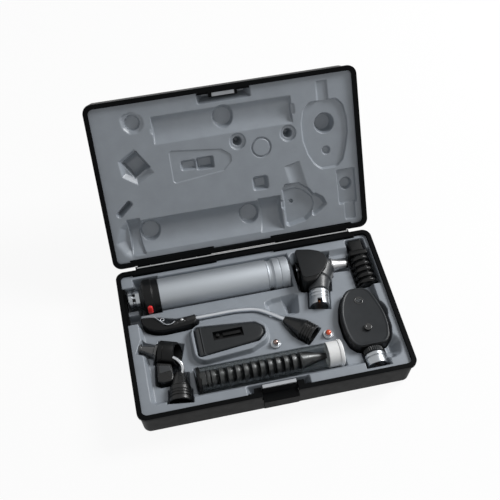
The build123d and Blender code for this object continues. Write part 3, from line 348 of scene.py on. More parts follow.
# disposable specula tube, reusable specula, lamp box, finger recess
trough(tray, (-67.4, -44.3), (63.6, -44.3), 13.0)
trough(tray, (103.2, 15.0), (103.2, 55.5), 11.0, top=tray_top)
sink(tray, in_box(94.0, 112.4, 50.0, 67.6, 2.4), 16.6, tray_top)
box_pocket = [(-61.4, -25.8), (-6.4, -20.2), (0.6, -13.6), (0.6, -6.8), (-6.4, -0.2), (-61.4, 5.4)]
sink(tray, in_outline(box_pocket, 3.6), 21.2, tray_top)
finger_step = [(7.0, 20.4), (13.4, 22.8), (35.8, 24.8), (38.6, 22.2), (35.4, 3.2), (25.5, 2.4), (7.4, 4.4)]
finger_deep = [(20.6, 23.4), (35.8, 24.6), (38.4, 22.2), (35.2, 4.4), (23.0, 4.4)]
sink(tray, in_outline(finger_step, 2.4), 18.4, slope=1.6)
sink(tray, in_outline(finger_deep, 2.4), 9.0, slope=1.9)
# operating head
trough(tray, (-96.4, -9.7), (-74.0, -17.2), 12.0)
trough(tray, (-83.0, -63.0), (-81.0, -48.6), 10.8)
trough(tray, (-81.5, -52.0), (-78.8, -32.8), 8.4)
trough(tray, (-109.6, -3.0), (-92.0, -11.0), 7.4, top=tray_top)
bracket_well = [(-101.2, -41.0), (-99.8, -29.5), (-98.6, -20.5), (-77.6, -13.0), (-77.6, -44.0), (-97.0, -44.0)]
sink(tray, in_outline(bracket_well, 2.0), 11.5)
# throat lamp: holder, tube groove and socket
holder_well = [(-106.4, 26.8), (-105.6, 17.2), (-100.4, 11.0), (-93.0, 7.2), (-86.0, 6.0), (-66.0, 6.6), (-57.4, 7.9),
               (-54.0, 11.8), (-54.0, 20.6), (-74.0, 20.8), (-90.0, 25.6)]
sink(tray, in_outline(holder_well, 2.0), 16.7)
for k in range(11):   # widens step by step with the cone
    trough(tray, (19.0 + 1.15 * k, 0.2 - 1.16 * k), (42.8, -23.8), 4.6 + 0.6 * k, 25.6)
tube_route = [(-56.0, 16.6), (-19.5, 16.9), (-2.0, 14.4), (8.7, 7.7), (20.3, -1.4)]
for start, end in zip(tube_route, tube_route[1:]):
    trough(tray, start, end, 3.0, 24.6, edge=1.0)
for x, y in ((7.2, -23.7), (54.4, -24.2)):
    sink(tray, in_disc(x, y, 3.0), 19.0, edge=0.8)
# latch notch in the front border
sink(tray, in_box(-27.5, 27.5, -90.0, -60.6, 2.0), 9.0, tray_top, slope=2.2, edge=1.2)
base_sheet = pressed_sheet("base_tray_sheet", tray, ~hinge_pads)
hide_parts("base_tray")
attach(base_sheet, "case")


def formed_sheet(name, code):
    """Vacuum-formed polystyrene: fine speckled grain under a thin even gloss that marks the pressed edges."""
    material, tree, surface, place = principled(name)
    grain = noise(tree, place, 0.35, 3.0, 0.7)
    slow = noise(tree, place, 14, 3.0)
    total = add_node(tree, "ShaderNodeMath", {"operation": "MULTIPLY_ADD"}, {0: grain, 1: 0.55, 2: slow}).outputs[0]
    colour = tinted(tree, code, remap(tree, total, 0.5, 1.05, 0.93, 1.07))
    bump = relief_of(tree, grain, 0.08, 0.25)
    feed(tree, surface, {"Base Color": colour, "Normal": bump, "Roughness": 0.4, "Specular IOR Level": 0.8,
                         "Coat Weight": 0.08, "Coat Roughness": 0.3, "Sheen Weight": 0.06, "Sheen Roughness": 0.4})
    return material


slate_sheet = formed_sheet("slate_polystyrene_sheet", "#8b929a")
base_sheet.data.materials.append(slate_sheet)


# ---- lid tray ---------------------------------------------------------------------
# The same formed sheet in the lid, pressed with shallow seats for the tops of the
# stored pieces and deeper round ones between them. Drawn closed, then swung open.
hinge_line = Vector((0, 75.8, 32.0))
lid_swing = math.radians(-125.0)
lid_face = 35.0
lid = np.zeros(X.shape)


def arch(start, end, radius, slope=4.0, foot=0.8, edge=0.8):
    """Press a round-topped seat over a bar that lies in the base."""
    trough(lid, start, end, radius, lid_face - tool_level, 0.0, slope, foot, edge)


def seat(depth, rise, slope=3.0, foot=0.8, edge=0.7):
    """Press a flat seat into the lid sheet."""
    sink(lid, depth, -rise, 0.0, slope, foot, edge)


# handle with its shoulder and coupling, then two round seats
arch((-92.5, 47.8), (40.4, 47.8), 18.6)
arch((-101.0, 47.8), (-88.6, 47.8), 20.6)
coupling_seat = [(-113.0, 51.0), (-107.5, 37.0), (-99.5, 31.0), (-96.0, 36.0), (-96.0, 62.0), (-101.0, 67.5),
                 (-107.0, 63.0)]
seat(in_outline(coupling_seat, 3.0), 4.6, slope=0.7, foot=1.6, edge=1.2)
arch((19.0, 47.8), (40.8, 47.8), 19.7, slope=2.6)
for x, y in ((-81.0, 45.5), (10.6, 45.5)):
    seat(in_disc(x, y, 11.8), 12.2)
# otoscope head
nose_seat = [(68.0, 58.0), (77.0, 53.2), (83.6, 47.6), (80.6, 40.0), (72.5, 34.0), (66.0, 40.0)]
plate_seat = [(42.8, 27.4), (55.6, 26.4), (64.2, 30.4), (71.6, 38.2), (73.4, 46.0), (70.8, 53.4), (62.0, 60.0),
              (46.0, 62.8), (42.8, 60.8)]
housing_seat = [(42.0, 27.4), (45.6, 22.2), (58.9, 22.4), (68.0, 29.6), (73.0, 38.0), (66.0, 46.0), (50.0, 40.0)]
seat(in_outline(nose_seat, 3.0), 4.4, slope=1.6)
seat(in_outline(plate_seat, 2.4), 6.0)
seat(in_disc(50.8, 40.6, 4.0), 8.5)
seat(in_outline(housing_seat, 1.0), 4.2)
seat(in_box(40.4, 46.0, 36.8, 45.2, 1.0), 3.0)
arch((54.3, 4.5), (59.7, 30.0), 13.0)
# ophthalmoscope, channel, specula stack
seat(in_outline(shield, 5.0), 2.6)
seat(in_disc(88.0, -27.0, 9.9), 12.0, slope=4.0)
seat(in_disc(87.5, -2.3, 4.8), 5.4)
seat(in_box(82.8, 93.2, -65.0, -44.0, 1.0), 1.8, slope=1.6)
seat(in_box(94.6, 112.2, 17.0, 50.2, 1.5), 3.2)
seat(in_box(99.4, 109.8, 48.0, 65.7, 1.5), 2.0)
seat(in_disc(103.2, 31.5, 6.9), 7.6)
# finger block, blade slot, lamp box outline
seat(in_box(16.6, 31.4, 10.6, 23.8, 3.0), 6.0, slope=2.0)
seat(in_box(-109.8, -91.2, 17.4, 23.4, 2.6, math.radians(-40)), 9.0, slope=2.8)
box_seat = [(-53.6, -24.9), (-7.2, -19.4), (0.6, -13.0), (0.6, -7.2), (-7.2, 0.2), (-53.6, 5.0)]
seat(in_outline(box_seat, 3.0), 0.8, edge=0.4)
seat(in_box(-45.6, -30.4, -14.6, -4.6, 3.0), 4.4, slope=1.8)
seat(in_box(-31.4, -14.8, -15.0, -3.2, 2.2), 8.0, slope=3.2)
# spare lamps, empty ring, operating head with the round seat over its socket
for x, y in ((8.0, -23.6), (53.9, -23.5)):
    seat(in_disc(x, y, 7.4), 2.0)
    seat(in_disc(x, y, 4.8), 12.5, slope=4.0)
seat(0.9 - np.abs(np.hypot(X - 28.5, Y + 15.0) - 8.4), 1.3, slope=2.4, foot=0.3, edge=0.3)
barrel_seat = [(-82.9, -31.6), (-68.9, -8.0), (-84.6, 0.6), (-97.2, -8.2), (-98.5, -22.6)]
foot_seat = [(-90.6, -61.0), (-80.0, -63.6), (-71.0, -58.0), (-70.6, -50.0), (-76.0, -44.2), (-84.6, -44.4),
             (-89.4, -50.0)]
seat(in_outline(barrel_seat, 1.0), 4.2, slope=1.0, foot=0.5, edge=0.5)
trough(lid, (-91.6, -12.0), (-76.2, -21.8), 9.0, -3.0, 0.0, 4.5, 0.6, 0.4)
seat(in_outline(foot_seat, 5.0), 1.6, slope=0.9)
seat(in_disc(-80.4, -53.6, 7.4), 5.0)
# disposable specula tube with its round seat, the latch notch and the tube's two ends
arch((-64.4, -44.3), (59.4, -44.3), 16.3)
seat(in_disc(-1.6, -46.4, 11.0), 9.8)
seat(in_box(-22.6, 25.0, -90.0, -60.4, 2.0), 9.0, slope=1.8)
seat(in_box(-66.2, -62.4, -47.4, -41.2, 2.0), 0.9, slope=1.0)
seat(in_box(57.0, 62.2, -49.4, -39.2, 2.4), 1.6, slope=1.2)
lid_sheet = pressed_sheet("lid_tray_sheet", lid_face - lid, ~hinge_pads)
closed_to_open = (Matrix.Translation(hinge_line * MM) @ Matrix.Rotation(lid_swing, 4, "X")
                  @ Matrix.Translation(-hinge_line * MM))
lid_sheet.data.transform(closed_to_open)
lid_sheet.data.flip_normals()
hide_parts("lid_tray")
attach(lid_sheet, "lid")
lid_sheet.data.materials.append(slate_sheet)


# ---- battery handle -----------------------------------------------------------------
# Satin chrome-plated brass tube with a screwed end cap, a black moulded rheostat
# ring with its red button, and the chromed bayonet that every head locks on to.
sharp_angle = math.radians(35.0)


def eased(points, radius, steps=4):
    """Polyline in two dimensions with its corners turned into short arcs."""
    out = [points[0]]
    for before, corner, after in zip(points, points[1:], points[2:]):
        p, q, r = Vector(before), Vector(corner), Vector(after)
        if (q - p).length < 1e-6 or (r - q).length < 1e-6 or (q - p).angle(r - q) < 0.12:
            out.append(corner)
            continue
        reach = min(radius, 0.45 * (q - p).length, 0.45 * (r - q).length)
        a, b = q + (p - q).normalized() * reach, q + (r - q).normalized() * reach
        for i in range(steps + 1):
            t = i / steps
            out.append(tuple(a * (1 - t) ** 2 + q * 2 * t * (1 - t) + b * t ** 2))
    return out + [points[-1]]


def placed(mesh_points, start, end):
    """Carry points drawn along X to a bar between two places; its second axis stays level."""
    a = Vector(start)
    x = (Vector(end) - a).normalized()
    y = Vector((0, 0, 1)).cross(x)
    y = y.normalized() if y.length > 1e-6 else Vector((0, 1, 0))
    z = x.cross(y)
    return np.array(a) + mesh_points @ np.array([x, y, z])


def make_object(name, spots, faces, body, material, node=None):
    """Link a smooth-shaded mesh given in millimetres that rides on a body and may stand for a node."""
    mesh = bpy.data.meshes.new(name)
    mesh.from_pydata([tuple(p) for p in np.asarray(spots) * MM], [], faces)
    mesh.update()
    mesh.shade_smooth()
    mesh.set_sharp_from_angle(angle=sharp_angle)
    made = bpy.data.objects.new(name, mesh)
    scene.collection.objects.link(made)
    mesh.materials.append(material)
    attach(made, body)
    if node:
        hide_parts(node)
    return made


def lathe(name, profile, start, end, body, slot_name, material, ease=0.25, segments=96, fluting=None,
          node=None):
    """Turned piece from (position, radius) pairs; fluting is (from, to, count, depth)."""
    line = eased([tuple(p) for p in profile], ease)
    if fluting:
        extra = []
        for p, q in zip(line, line[1:]):
            extra.append(p)
            if fluting[0] <= p[0] <= fluting[1] and fluting[0] <= q[0] <= fluting[1] and q[0] - p[0] > 1.0:
                extra += [(p[0] + (q[0] - p[0]) * k / 4, p[1] + (q[1] - p[1]) * k / 4) for k in (1, 2, 3)]
        line = extra + [line[-1]]
    angles = np.linspace(0, 2 * math.pi, segments, endpoint=False)
    rings = []
    for x, r in line:
        radii = np.full(segments, float(r))
        if fluting and fluting[0] <= x <= fluting[1]:
            radii -= fluting[3] * (0.5 + 0.5 * np.cos(angles * fluting[2])) ** 0.5
        rings.append(np.stack([np.full(segments, float(x)), radii * np.cos(angles), radii * np.sin(angles)], axis=-1))
    spots = placed(np.concatenate(rings), start, end)
    faces = []
    for i in range(len(line) - 1):
        for j in range(segments):
            k = (j + 1) % segments
            faces.append((i * segments + j, i * segments + k, (i + 1) * segments + k, (i + 1) * segments + j))
    if line[0][1] > 1e-6:
        faces.append(tuple(reversed(range(segments))))
    if line[-1][1] > 1e-6:
        faces.append(tuple((len(line) - 1) * segments + j for j in range(segments)))
    return make_object(name, spots, faces, body, material, node)


def plated(name, code, rough, brush=0.0, axis=0, cloudy=0.12):
    """Plated metal: bright mirror or fine satin lines, with faint clouding from handling."""
    material, tree, surface, place = principled(name)
    gloss = remap(tree, noise(tree, place, 6, 4.0), 0.3, 0.7, rough * (1 - cloudy), rough * (1 + cloudy))
    feed(tree, surface, {"Roughness": gloss, "Base Color": shade(code), "Metallic": 1.0})
    if brush:
        stretch = [0.04, 0.04, 0.04]
        stretch[axis] = 1.0
        lines = add_node(tree, "ShaderNodeMapping", None, {"Vector": place, "Scale": stretch}).outputs[0]
        feed(tree, surface, {"Normal": relief_of(tree, noise(tree, lines, 0.12, 2.0), brush, 0.5)})
    return material


satin_plate = plated("satin_nickel_plate", "#b2b7bc", 0.62, brush=0.003, cloudy=0.02)
bright_chrome = plated("bright_chrome_plate", "#d3d6d9", 0.26)
worn_chrome = plated("worn_chrome_plate", "#b4b8bc", 0.3)
fine_black = plastic("moulded_nylon_black", "#0b0c0d", 0.38, grain=0.4, specular=0.25)
charcoal_moulding = plastic("moulded_nylon_charcoal", "#1f2224", 0.42, grain=0.45, specular=0.35)
# Grey moulding of the otoscope neck; the same lighter grey also paints highlights on the lamp box's rounded end and
# the bracket's top facet.
neck_grey_and_painted_highlight = plastic("moulded_nylon_grey_and_painted_highlight", "#2e3134", 0.4, grain=0.45, specular=0.6)
copper_pin = plated("bare_copper", "#c07a52", 0.28)
handle_start, handle_next = (0.0, 47.8, tool_level), (1.0, 47.8, tool_level)


def on_handle(name, profile, body, slot_name, material, node, **more):
    """Turned piece on the handle's axis that stands for one node."""
    return lathe(name, profile, handle_start, handle_next, body, slot_name, material, node=node, **more)


tube = [(-83.9, 13.6), (-83.9, 14.6), (-83.6, 14.75), (14.9, 14.75), (14.9, 13.6)]
on_handle("handle_tube_plated", tube, "battery_handle", "satin_steel", satin_plate, "handle_tube", ease=0.15)
cap = [(15.1, 12.0), (15.1, 14.4), (15.5, 14.6), (16.0, 13.6), (17.0, 13.1), (19.4, 13.1), (20.6, 13.8), (21.4, 14.75),
       (26.6, 14.75), (26.9, 14.3), (27.6, 14.3), (27.9, 14.75), (34.2, 14.6), (35.3, 13.6), (35.45, 12.0),
       (35.5, 0.0)]
on_handle("handle_end_cap_plated", cap, "end_cap", "satin_steel", satin_plate, "handle_end_cap", ease=0.2)
ring = [(-99.0, 9.7), (-99.0, 13.2), (-98.2, 15.0), (-97.4, 15.9), (-96.4, 16.4), (-90.8, 16.4), (-90.2, 16.1),
        (-89.6, 15.3), (-84.2, 15.25), (-84.1, 9.7)]
on_handle("rheostat_ring_moulded", ring, "rheostat", "black_plastic", fine_black, "rheostat_ring", ease=0.3,
          fluting=(-97.5, -90.2, 72, 0.12))
shoulder = [(-101.6, 8.5), (-101.6, 9.2), (-101.0, 10.0), (-99.6, 12.4), (-99.1, 12.6), (-99.1, 8.5)]
on_handle("handle_shoulder_moulded", shoulder, "battery_handle", "charcoal", charcoal_moulding, "handle_shoulder")
core = [(-110.0, 0.0), (-110.0, 3.4), (-99.0, 3.4), (-99.0, 9.3), (-80.1, 9.3), (-80.1, 0.0)]
on_handle("rheostat_core_moulded", core, "battery_handle", "black_plastic", fine_black, "rheostat_core", segments=48)
contact = [(-111.0, 0.0), (-111.0, 1.0), (-110.6, 1.4), (-98.0, 1.4), (-98.0, 0.0)]
on_handle("handle_contact_pin", contact, "battery_handle", "copper", copper_pin, "handle_contact", segments=32)
bayonet = [(-111.9, 3.7), (-111.9, 7.6), (-111.2, 8.2), (-108.2, 8.3), (-107.8, 7.4), (-105.9, 7.4), (-105.5, 8.4),
           (-101.9, 8.4), (-101.5, 7.9), (-100.9, 7.9), (-100.5, 8.4), (-99.2, 8.4), (-99.2, 3.7)]
bayonet_piece = on_handle("bayonet_coupling_chromed", bayonet, "battery_handle", "chrome", worn_chrome,
                          "bayonet_coupling", ease=0.15)


def carve(piece, cutters):
    """Cut solids out of a piece and remove them from the scene."""
    for cutter in cutters:
        cut = piece.modifiers.new("cut", "BOOLEAN")
        cut.operation = "DIFFERENCE"
        cut.solver = "EXACT"
        cut.object = cutter
    bpy.context.view_layer.update()
    shape = bpy.data.meshes.new_from_object(piece.evaluated_get(bpy.context.evaluated_depsgraph_get()))
    piece.modifiers.clear()
    piece.data = shape
    shape.shade_smooth()
    shape.set_sharp_from_angle(angle=sharp_angle)
    for cutter in cutters:
        bpy.data.objects.remove(cutter)


def cutter_block(x0, x1, y0, y1, z0, z1, turn=Matrix.Identity(4)):
    """Plain block used only to cut, in the piece's own axes."""
    corners = [(x, y, z) for x in (x0, x1) for y in (y0, y1) for z in (z0, z1)]
    corners = [turn @ (Vector(c) * MM) for c in corners]
    faces = [(0, 1, 3, 2), (4, 6, 7, 5), (0, 4, 5, 1), (2, 3, 7, 6), (0, 2, 6, 4), (1, 5, 7, 3)]
    mesh = bpy.data.meshes.new("cutter")
    mesh.from_pydata(corners, [], faces)
    made = bpy.data.objects.new("cutter", mesh)
    scene.collection.objects.link(made)
    return made


handle_line = Matrix.Translation(Vector(handle_start) * MM)
slots = []
for angle in (2, 38, 122, 158, 242, 278):
    spin = handle_line @ Matrix.Rotation(math.radians(angle), 4, "X")
    slots.append(cutter_block(-108.3, -105.4, -1.5, 1.5, 5.2, 10.0, spin))
    slots.append(cutter_block(-112.5, -108.0, -0.8, 0.8, 6.2, 10.0, spin))
carve(bayonet_piece, slots)
on_handle("bayonet_slot_liner", [(-108.6, 0.0), (-108.6, 5.6), (-105.2, 5.6), (-105.2, 0.0)], "battery_handle",
          "black_plastic", fine_black, "rheostat_core", segments=64)

# The button is a rounded oval cap of red acetal in a shallow well.
button_turn = Matrix.Translation(Vector((-94.0, 47.8, tool_level)) * MM) @ Matrix.Rotation(math.radians(77.5), 4, "X")
red_acetal = plastic("red_acetal", "#fa393a", 0.3, grain=0.3, coat=0.2)
rings = []
for reach, rise in ((1.0, 14.0), (1.0, 16.6), (0.93, 17.0), (0.75, 17.3), (0.4, 17.5)):
    for i in range(32):
        angle = 2 * math.pi * i / 32
        stretch = 2.3 * (1 if math.sin(angle) > 0 else -1) * reach
        rings.append((2.3 * reach * math.cos(angle), 2.3 * reach * math.sin(angle) + stretch, rise))
faces = [(i * 32 + j, i * 32 + (j + 1) % 32, (i + 1) * 32 + (j + 1) % 32, (i + 1) * 32 + j)
         for i in range(4) for j in range(32)] + [tuple(128 + j for j in range(32))]
button = make_object("switch_button_moulded", rings, faces, "button", red_acetal, "switch_button")
button.data.transform(button_turn)


# ---- otoscope head --------------------------------------------------------------------
# Black nylon lens housing on a charcoal moulded neck and nose, with a swivelling
# magnifier at the left and the chromed bayonet socket that fits the handle.
lean = math.radians(12.0)
lean_x, lean_y = math.sin(lean), math.cos(lean)
head_foot = Vector((54.3, 4.5, tool_level))
nose_fall = math.radians(4.0)
up_neck, out_nose = Vector((lean_x, lean_y, 0)), Vector((math.cos(nose_fall), -math.sin(nose_fall), 0))
nose_root = Vector((75.4, 45.9, tool_level))


def slab(name, outline, layers, body, material, corner=2.0, node=None):
    """Plate from a plan outline and (inset, height) layers, with eased corners."""
    count = len(outline)
    loop = [outline[-1]] + list(outline) + [outline[0]]
    ring = []
    for i in range(1, count + 1):
        ring += eased([loop[i - 1], loop[i], loop[i + 1]], corner, 6)[1:-1]
    ring = [Vector(p) for p in ring]
    area = sum(ring[i - 1].x * ring[i].y - ring[i].x * ring[i - 1].y for i in range(len(ring)))
    if area < 0:
        ring.reverse()
    outward = []
    for i, point in enumerate(ring):
        way = ring[(i + 1) % len(ring)] - ring[i - 1]
        outward.append(Vector((way.y, -way.x)).normalized())
    spots = []
    for inset, height in layers:
        spots += [(p.x - n.x * inset, p.y - n.y * inset, height) for p, n in zip(ring, outward)]
    size = len(ring)
    faces = [(i * size + j, i * size + (j + 1) % size, (i + 1) * size + (j + 1) % size, (i + 1) * size + j)
             for i in range(len(layers) - 1) for j in range(size)]
    faces += [tuple(reversed(range(size))), tuple((len(layers) - 1) * size + j for j in range(size))]
    return make_object(name, spots, faces, body, material, node)


def rounded_edges(low, high, low_edge, high_edge, steps=5):
    """(inset, height) layers of a plate with both edges rounded."""
    layers = []
    for i in range(steps + 1):
        angle = math.pi / 2 * (1 - i / steps)
        layers.append((low_edge * (1 - math.cos(angle)), low + low_edge * (1 - math.sin(angle))))
    for i in range(steps + 1):
        angle = math.pi / 2 * i / steps
        layers.append((high_edge * (1 - math.cos(angle)), high - high_edge * (1 - math.sin(angle))))
    return layers


housing_plan = [(44.4, 27.2), (46.6, 24.6), (55.6, 25.4), (62.2, 31.4), (68.2, 37.2), (71.2, 43.8), (70.7, 49.9),
                (66.8, 55.0), (57.8, 58.9), (46.4, 61.2), (44.4, 59.6)]
housing = slab("otoscope_housing_body", housing_plan, rounded_edges(10.0, 38.0, 3.0, 1.0), "otoscope_head",
               fine_black, corner=2.4)
plate_plan = [(44.6, 31.4), (47.2, 29.2), (55.1, 29.2), (61.6, 31.8), (67.6, 37.4), (70.8, 43.8), (70.3, 49.7),
              (66.4, 54.6), (57.5, 58.4), (46.6, 60.4), (44.6, 58.8)]
face_satin = plastic("moulded_nylon_face", "#222528", 0.42, grain=0.3, relief=0.015, specular=0.3)
face_dark = plastic("moulded_nylon_face_dark", "#181a1c", 0.4, grain=0.3, relief=0.015, specular=0.3)
slab("otoscope_face_plate_moulded", plate_plan, rounded_edges(37.9, 38.5, 0.1, 0.3), "otoscope_head",
     face_dark, corner=2.6, node="otoscope_face_plate")


def blended(name, bars, body, slot_name, material, cell=0.55, passes=8):
    """Cones run together into one smooth moulding; each bar is (start, end, radius, end radius)."""
    parts = []
    for start, end, r0, r1 in bars:
        length = (Vector(end) - Vector(start)).length
        part = lathe(name, [(0, 0), (0, r0), (length, r1), (length, 0)], start, end, body, slot_name, material,
                     ease=0.5, segments=64)
        parts.append(part)
    whole = parts[0]
    points = [v.co for part in parts for v in part.data.vertices]
    faces, base = [], 0
    for part in parts:
        faces += [[base + k for k in face.vertices] for face in part.data.polygons]
        base += len(part.data.vertices)
    mesh = bpy.data.meshes.new(name)
    mesh.from_pydata([tuple(p) for p in points], [], faces)
    whole.data = mesh
    for part in parts[1:]:
        bpy.data.objects.remove(part)
    remesh = whole.modifiers.new("fuse", "REMESH")
    remesh.mode = "VOXEL"
    remesh.voxel_size = cell * MM
    smooth = whole.modifiers.new("soften", "SMOOTH")
    smooth.iterations = passes
    bpy.context.view_layer.update()
    shape = bpy.data.meshes.new_from_object(whole.evaluated_get(bpy.context.evaluated_depsgraph_get()))
    whole.modifiers.clear()
    whole.data = shape
    shape.shade_smooth()
    shape.materials.clear()
    shape.materials.append(material)
    return whole


neck = blended("otoscope_neck_moulding", [
    (head_foot + up_neck * 16.1, head_foot + up_neck * 34.0, 8.9, 12.2),
    (head_foot + up_neck * 30.0, head_foot + up_neck * 48.0, 12.2, 11.0),
    (nose_root - out_nose * 16.0, nose_root, 13.4, 6.9),
    (nose_root - out_nose * 13.0 - up_neck * 5.0, nose_root - out_nose * 4.6, 13.4, 9.4),
    (head_foot + up_neck * 30.0, nose_root - out_nose * 8.0, 12.4, 12.0),
], "otoscope_head", "charcoal", neck_grey_and_painted_highlight)
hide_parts("otoscope_housing")
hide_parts("otoscope_housing")


def socket_chrome(name, foot, way, length, body, node, bore_depth, notch_turn=0.0):
    """Chromed bayonet socket: hollow mouth, two grooves and a square notch at the top."""
    profile = [(bore_depth, 0.0), (bore_depth, 7.7), (0.5, 7.7), (0.0, 8.1), (0.0, 8.8), (0.4, 9.2), (7.2, 9.2),
               (7.6, 8.7), (8.6, 8.7), (9.0, 9.2), (10.8, 9.2), (11.2, 8.7), (12.0, 8.7), (12.4, 9.2)]
    if length < 13:
        profile = profile[:7] + [(6.0, 9.2), (6.4, 8.7), (7.4, 8.7), (7.8, 9.2), (length - 1.4, 9.2), (length, 8.0),
                                 (length, 0.0)]
    else:
        profile += [(length - 1.4, 9.2), (length, 8.2), (length, 0.0)]
    piece = lathe(name, profile, foot, foot + way, body, "chrome", worn_chrome, ease=0.18)
    turn = Matrix.Translation(foot * MM) @ Matrix((way, Vector((0, 0, 1)).cross(way), (0, 0, 1))).transposed().to_4x4()
    turn = turn @ Matrix.Rotation(notch_turn, 4, "X")
    carve(piece, [cutter_block(-1.0, 4.2, -2.4, 2.4, 4.0, 12.0, turn)])
    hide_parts(node)
    return piece


socket_chrome("otoscope_socket_chromed", head_foot, up_neck, 16.0, "otoscope_head", "otoscope_socket", 13.0)
pin_profile = [(5.2, 0.0), (5.2, 0.8), (5.6, 1.3), (13.0, 1.3), (13.0, 0.0)]
lathe("otoscope_contact_pin", pin_profile, head_foot, head_foot + up_neck, "otoscope_head", "copper", copper_pin,
      segments=32, node="otoscope_contact")

speculum_steel = plated("turned_stainless", "#bfc0c1", 0.42, brush=0.003)
cone = [(0.1, 0.0), (0.1, 6.6), (0.4, 6.9), (1.3, 6.9), (1.8, 6.2), (8.0, 4.6), (14.6, 3.7), (14.6, 2.1), (6.0, 2.1),
        (6.0, 0.0)]
lathe("otoscope_speculum_turned", cone, nose_root, nose_root + out_nose, "otoscope_tip", "satin_steel",
      speculum_steel, node="otoscope_speculum")
# A black ring at the end of the steel speculum paints the shade along its tip.
tip_profile = [(14.6, 2.1), (14.6, 3.7), (15.0, 3.9), (16.0, 3.7), (16.6, 3.1), (16.5, 2.1), (14.6, 2.1)]
lathe("otoscope_speculum_tip_painted_shade", tip_profile, nose_root, nose_root + out_nose, "otoscope_tip",
      "black_plastic", fine_black, segments=64, node="otoscope_speculum")

lens_place, lens_way = Vector((42.0, 44.5, tool_level)), Vector((1, 0, 0))
frame_profile = [(0.1, 7.8), (0.0, 9.2), (0.3, 9.5), (1.8, 9.5), (2.1, 9.2), (2.1, 7.8)]
pivot_from, pivot_to = Vector((42.0, 41.0, 34.4)), Vector((43.0, 41.0, 34.4))
lathe("otoscope_lens_frame_moulded", frame_profile + [frame_profile[0]], lens_place, lens_place + lens_way,
      "otoscope_magnifier", "black_plastic", fine_black, node="otoscope_lens_frame")
lathe("otoscope_lens_lug", [(0.0, 0.0), (0.0, 2.4), (2.1, 2.4), (2.1, 0.0)], pivot_from, pivot_to,
      "otoscope_magnifier", "black_plastic", fine_black, segments=48, node="otoscope_lens_frame")
lathe("otoscope_lens_pivot_screw", [(-0.7, 0.0), (-0.7, 0.9), (-0.4, 1.3), (0.0, 1.3), (2.3, 1.3), (2.3, 0.0)],
      pivot_from, pivot_to, "otoscope_head", "chrome", bright_chrome, segments=32, node="otoscope_lens_pivot")


def clear(name, code, ior, rough=0.02):
    """Ground glass: full transmission with a slight tint and handling haze."""
    material, tree, surface, place = principled(name)
    gloss = remap(tree, noise(tree, place, 8, 3.0), 0.35, 0.7, rough, rough * 3)
    feed(tree, surface, {"Roughness": gloss, "Base Color": shade(code), "Transmission Weight": 1.0, "IOR": ior})
    paths = add_node(tree, "ShaderNodeLightPath")
    past = add_node(tree, "ShaderNodeBsdfTransparent", None, {"Color": shade("#fcfdfd")})
    shown = add_node(tree, "ShaderNodeMixShader", None, {0: paths.outputs["Is Shadow Ray"], 1: surface.outputs[0],
                                                         2: past.outputs[0]})
    feed(tree, tree.nodes["Material Output"], {"Surface": shown.outputs[0]})
    return material


crown_glass = clear("crown_glass", "#eef4f6", 1.52)
lathe("otoscope_lens_ground", [(0.5, 0.0), (0.45, 4.0), (0.7, 7.75), (1.6, 7.75), (1.95, 4.0), (2.0, 0.0)],
      lens_place, lens_place + lens_way, "otoscope_magnifier", "lens_glass", crown_glass, node="otoscope_lens")


# ---- ophthalmoscope ---------------------------------------------------------------------
# Two black shells closed by a satin charcoal face with a raised rim; a toothed
# thumbwheel of lenses shows at its right edge and a finely knurled collar below it.
eye_x, eye_face = 88.0, 32.2
gloss_black = plastic("moulded_acetal_black", "#0c0d0e", 0.28, grain=0.4)
shield_plan = [(75.6, -46.8), (70.0, -41.0), (67.6, -30.0), (67.6, -14.5), (70.9, -1.8), (75.6, 7.4), (81.5, 12.8),
               (95.5, 12.8), (101.2, 7.6), (104.8, -4.0), (107.6, -17.0), (107.6, -29.5), (105.0, -41.0),
               (100.0, -46.8)]
eye_layers = rounded_edges(10.2, eye_face - 0.9, 3.0, 1.2)
slab("ophthalmoscope_shell_moulded", shield_plan, eye_layers, "ophthalmoscope", fine_black,
     corner=7.0, node="ophthalmoscope_back_shell")
face_layers = [(0.9, eye_face - 1.6), (0.9, eye_face - 0.5), (1.1, eye_face - 0.15), (1.5, eye_face), (2.1, eye_face),
               (2.5, eye_face - 0.15), (2.8, eye_face - 0.35), (3.3, eye_face - 0.4)]
slab("ophthalmoscope_face_moulded", shield_plan, face_layers, "ophthalmoscope", face_satin,
     corner=7.0, node="ophthalmoscope_face")


def upright(name, x, y, profile, body, slot_name, material, node, **more):
    """Turned piece on an upright axis, from (height, radius) pairs."""
    return lathe(name, profile, Vector((x, y, 0)), Vector((x, y, 1)), body, slot_name, material, node=node, **more)


polished_black = plastic("polished_acetal_black", "#08090a", 0.12, grain=0.3, relief=0.004, coat=0.6, specular=0.8)
ring_profile = [(eye_face - 0.6, 2.2), (eye_face - 0.5, 3.9), (eye_face - 0.1, 3.9), (eye_face + 0.1, 3.6),
                (eye_face + 0.1, 3.2), (eye_face - 0.6, 2.2)]
upright("ophthalmoscope_window_bezel", eye_x, -0.8, ring_profile, "ophthalmoscope", "black_plastic", polished_black,
        "ophthalmoscope_window_ring", segments=48)
upright("ophthalmoscope_window_glass", eye_x, -0.8, [(eye_face - 0.45, 0.0), (eye_face - 0.45, 1.95),
                                                     (eye_face - 0.25, 1.95), (eye_face - 0.2, 0.0)],
        "ophthalmoscope", "lens_glass", crown_glass, "ophthalmoscope_window", segments=48)
dial = [(eye_face - 0.4, 0.0), (eye_face - 0.4, 3.3), (eye_face + 1.6, 3.4), (eye_face + 2.1, 3.0),
        (eye_face + 2.2, 1.4), (eye_face + 1.9, 1.1), (eye_face + 1.9, 0.0)]
upright("aperture_knob_moulded", eye_x, -29.6, dial, "aperture_dial", "black_plastic", polished_black, "aperture_knob",
        fluting=(eye_face, eye_face + 1.7, 16, 0.25))
wheel = [(15.9, 0.0), (15.9, 12.8), (16.6, 13.5), (21.8, 13.5), (22.5, 12.8), (22.5, 0.0)]
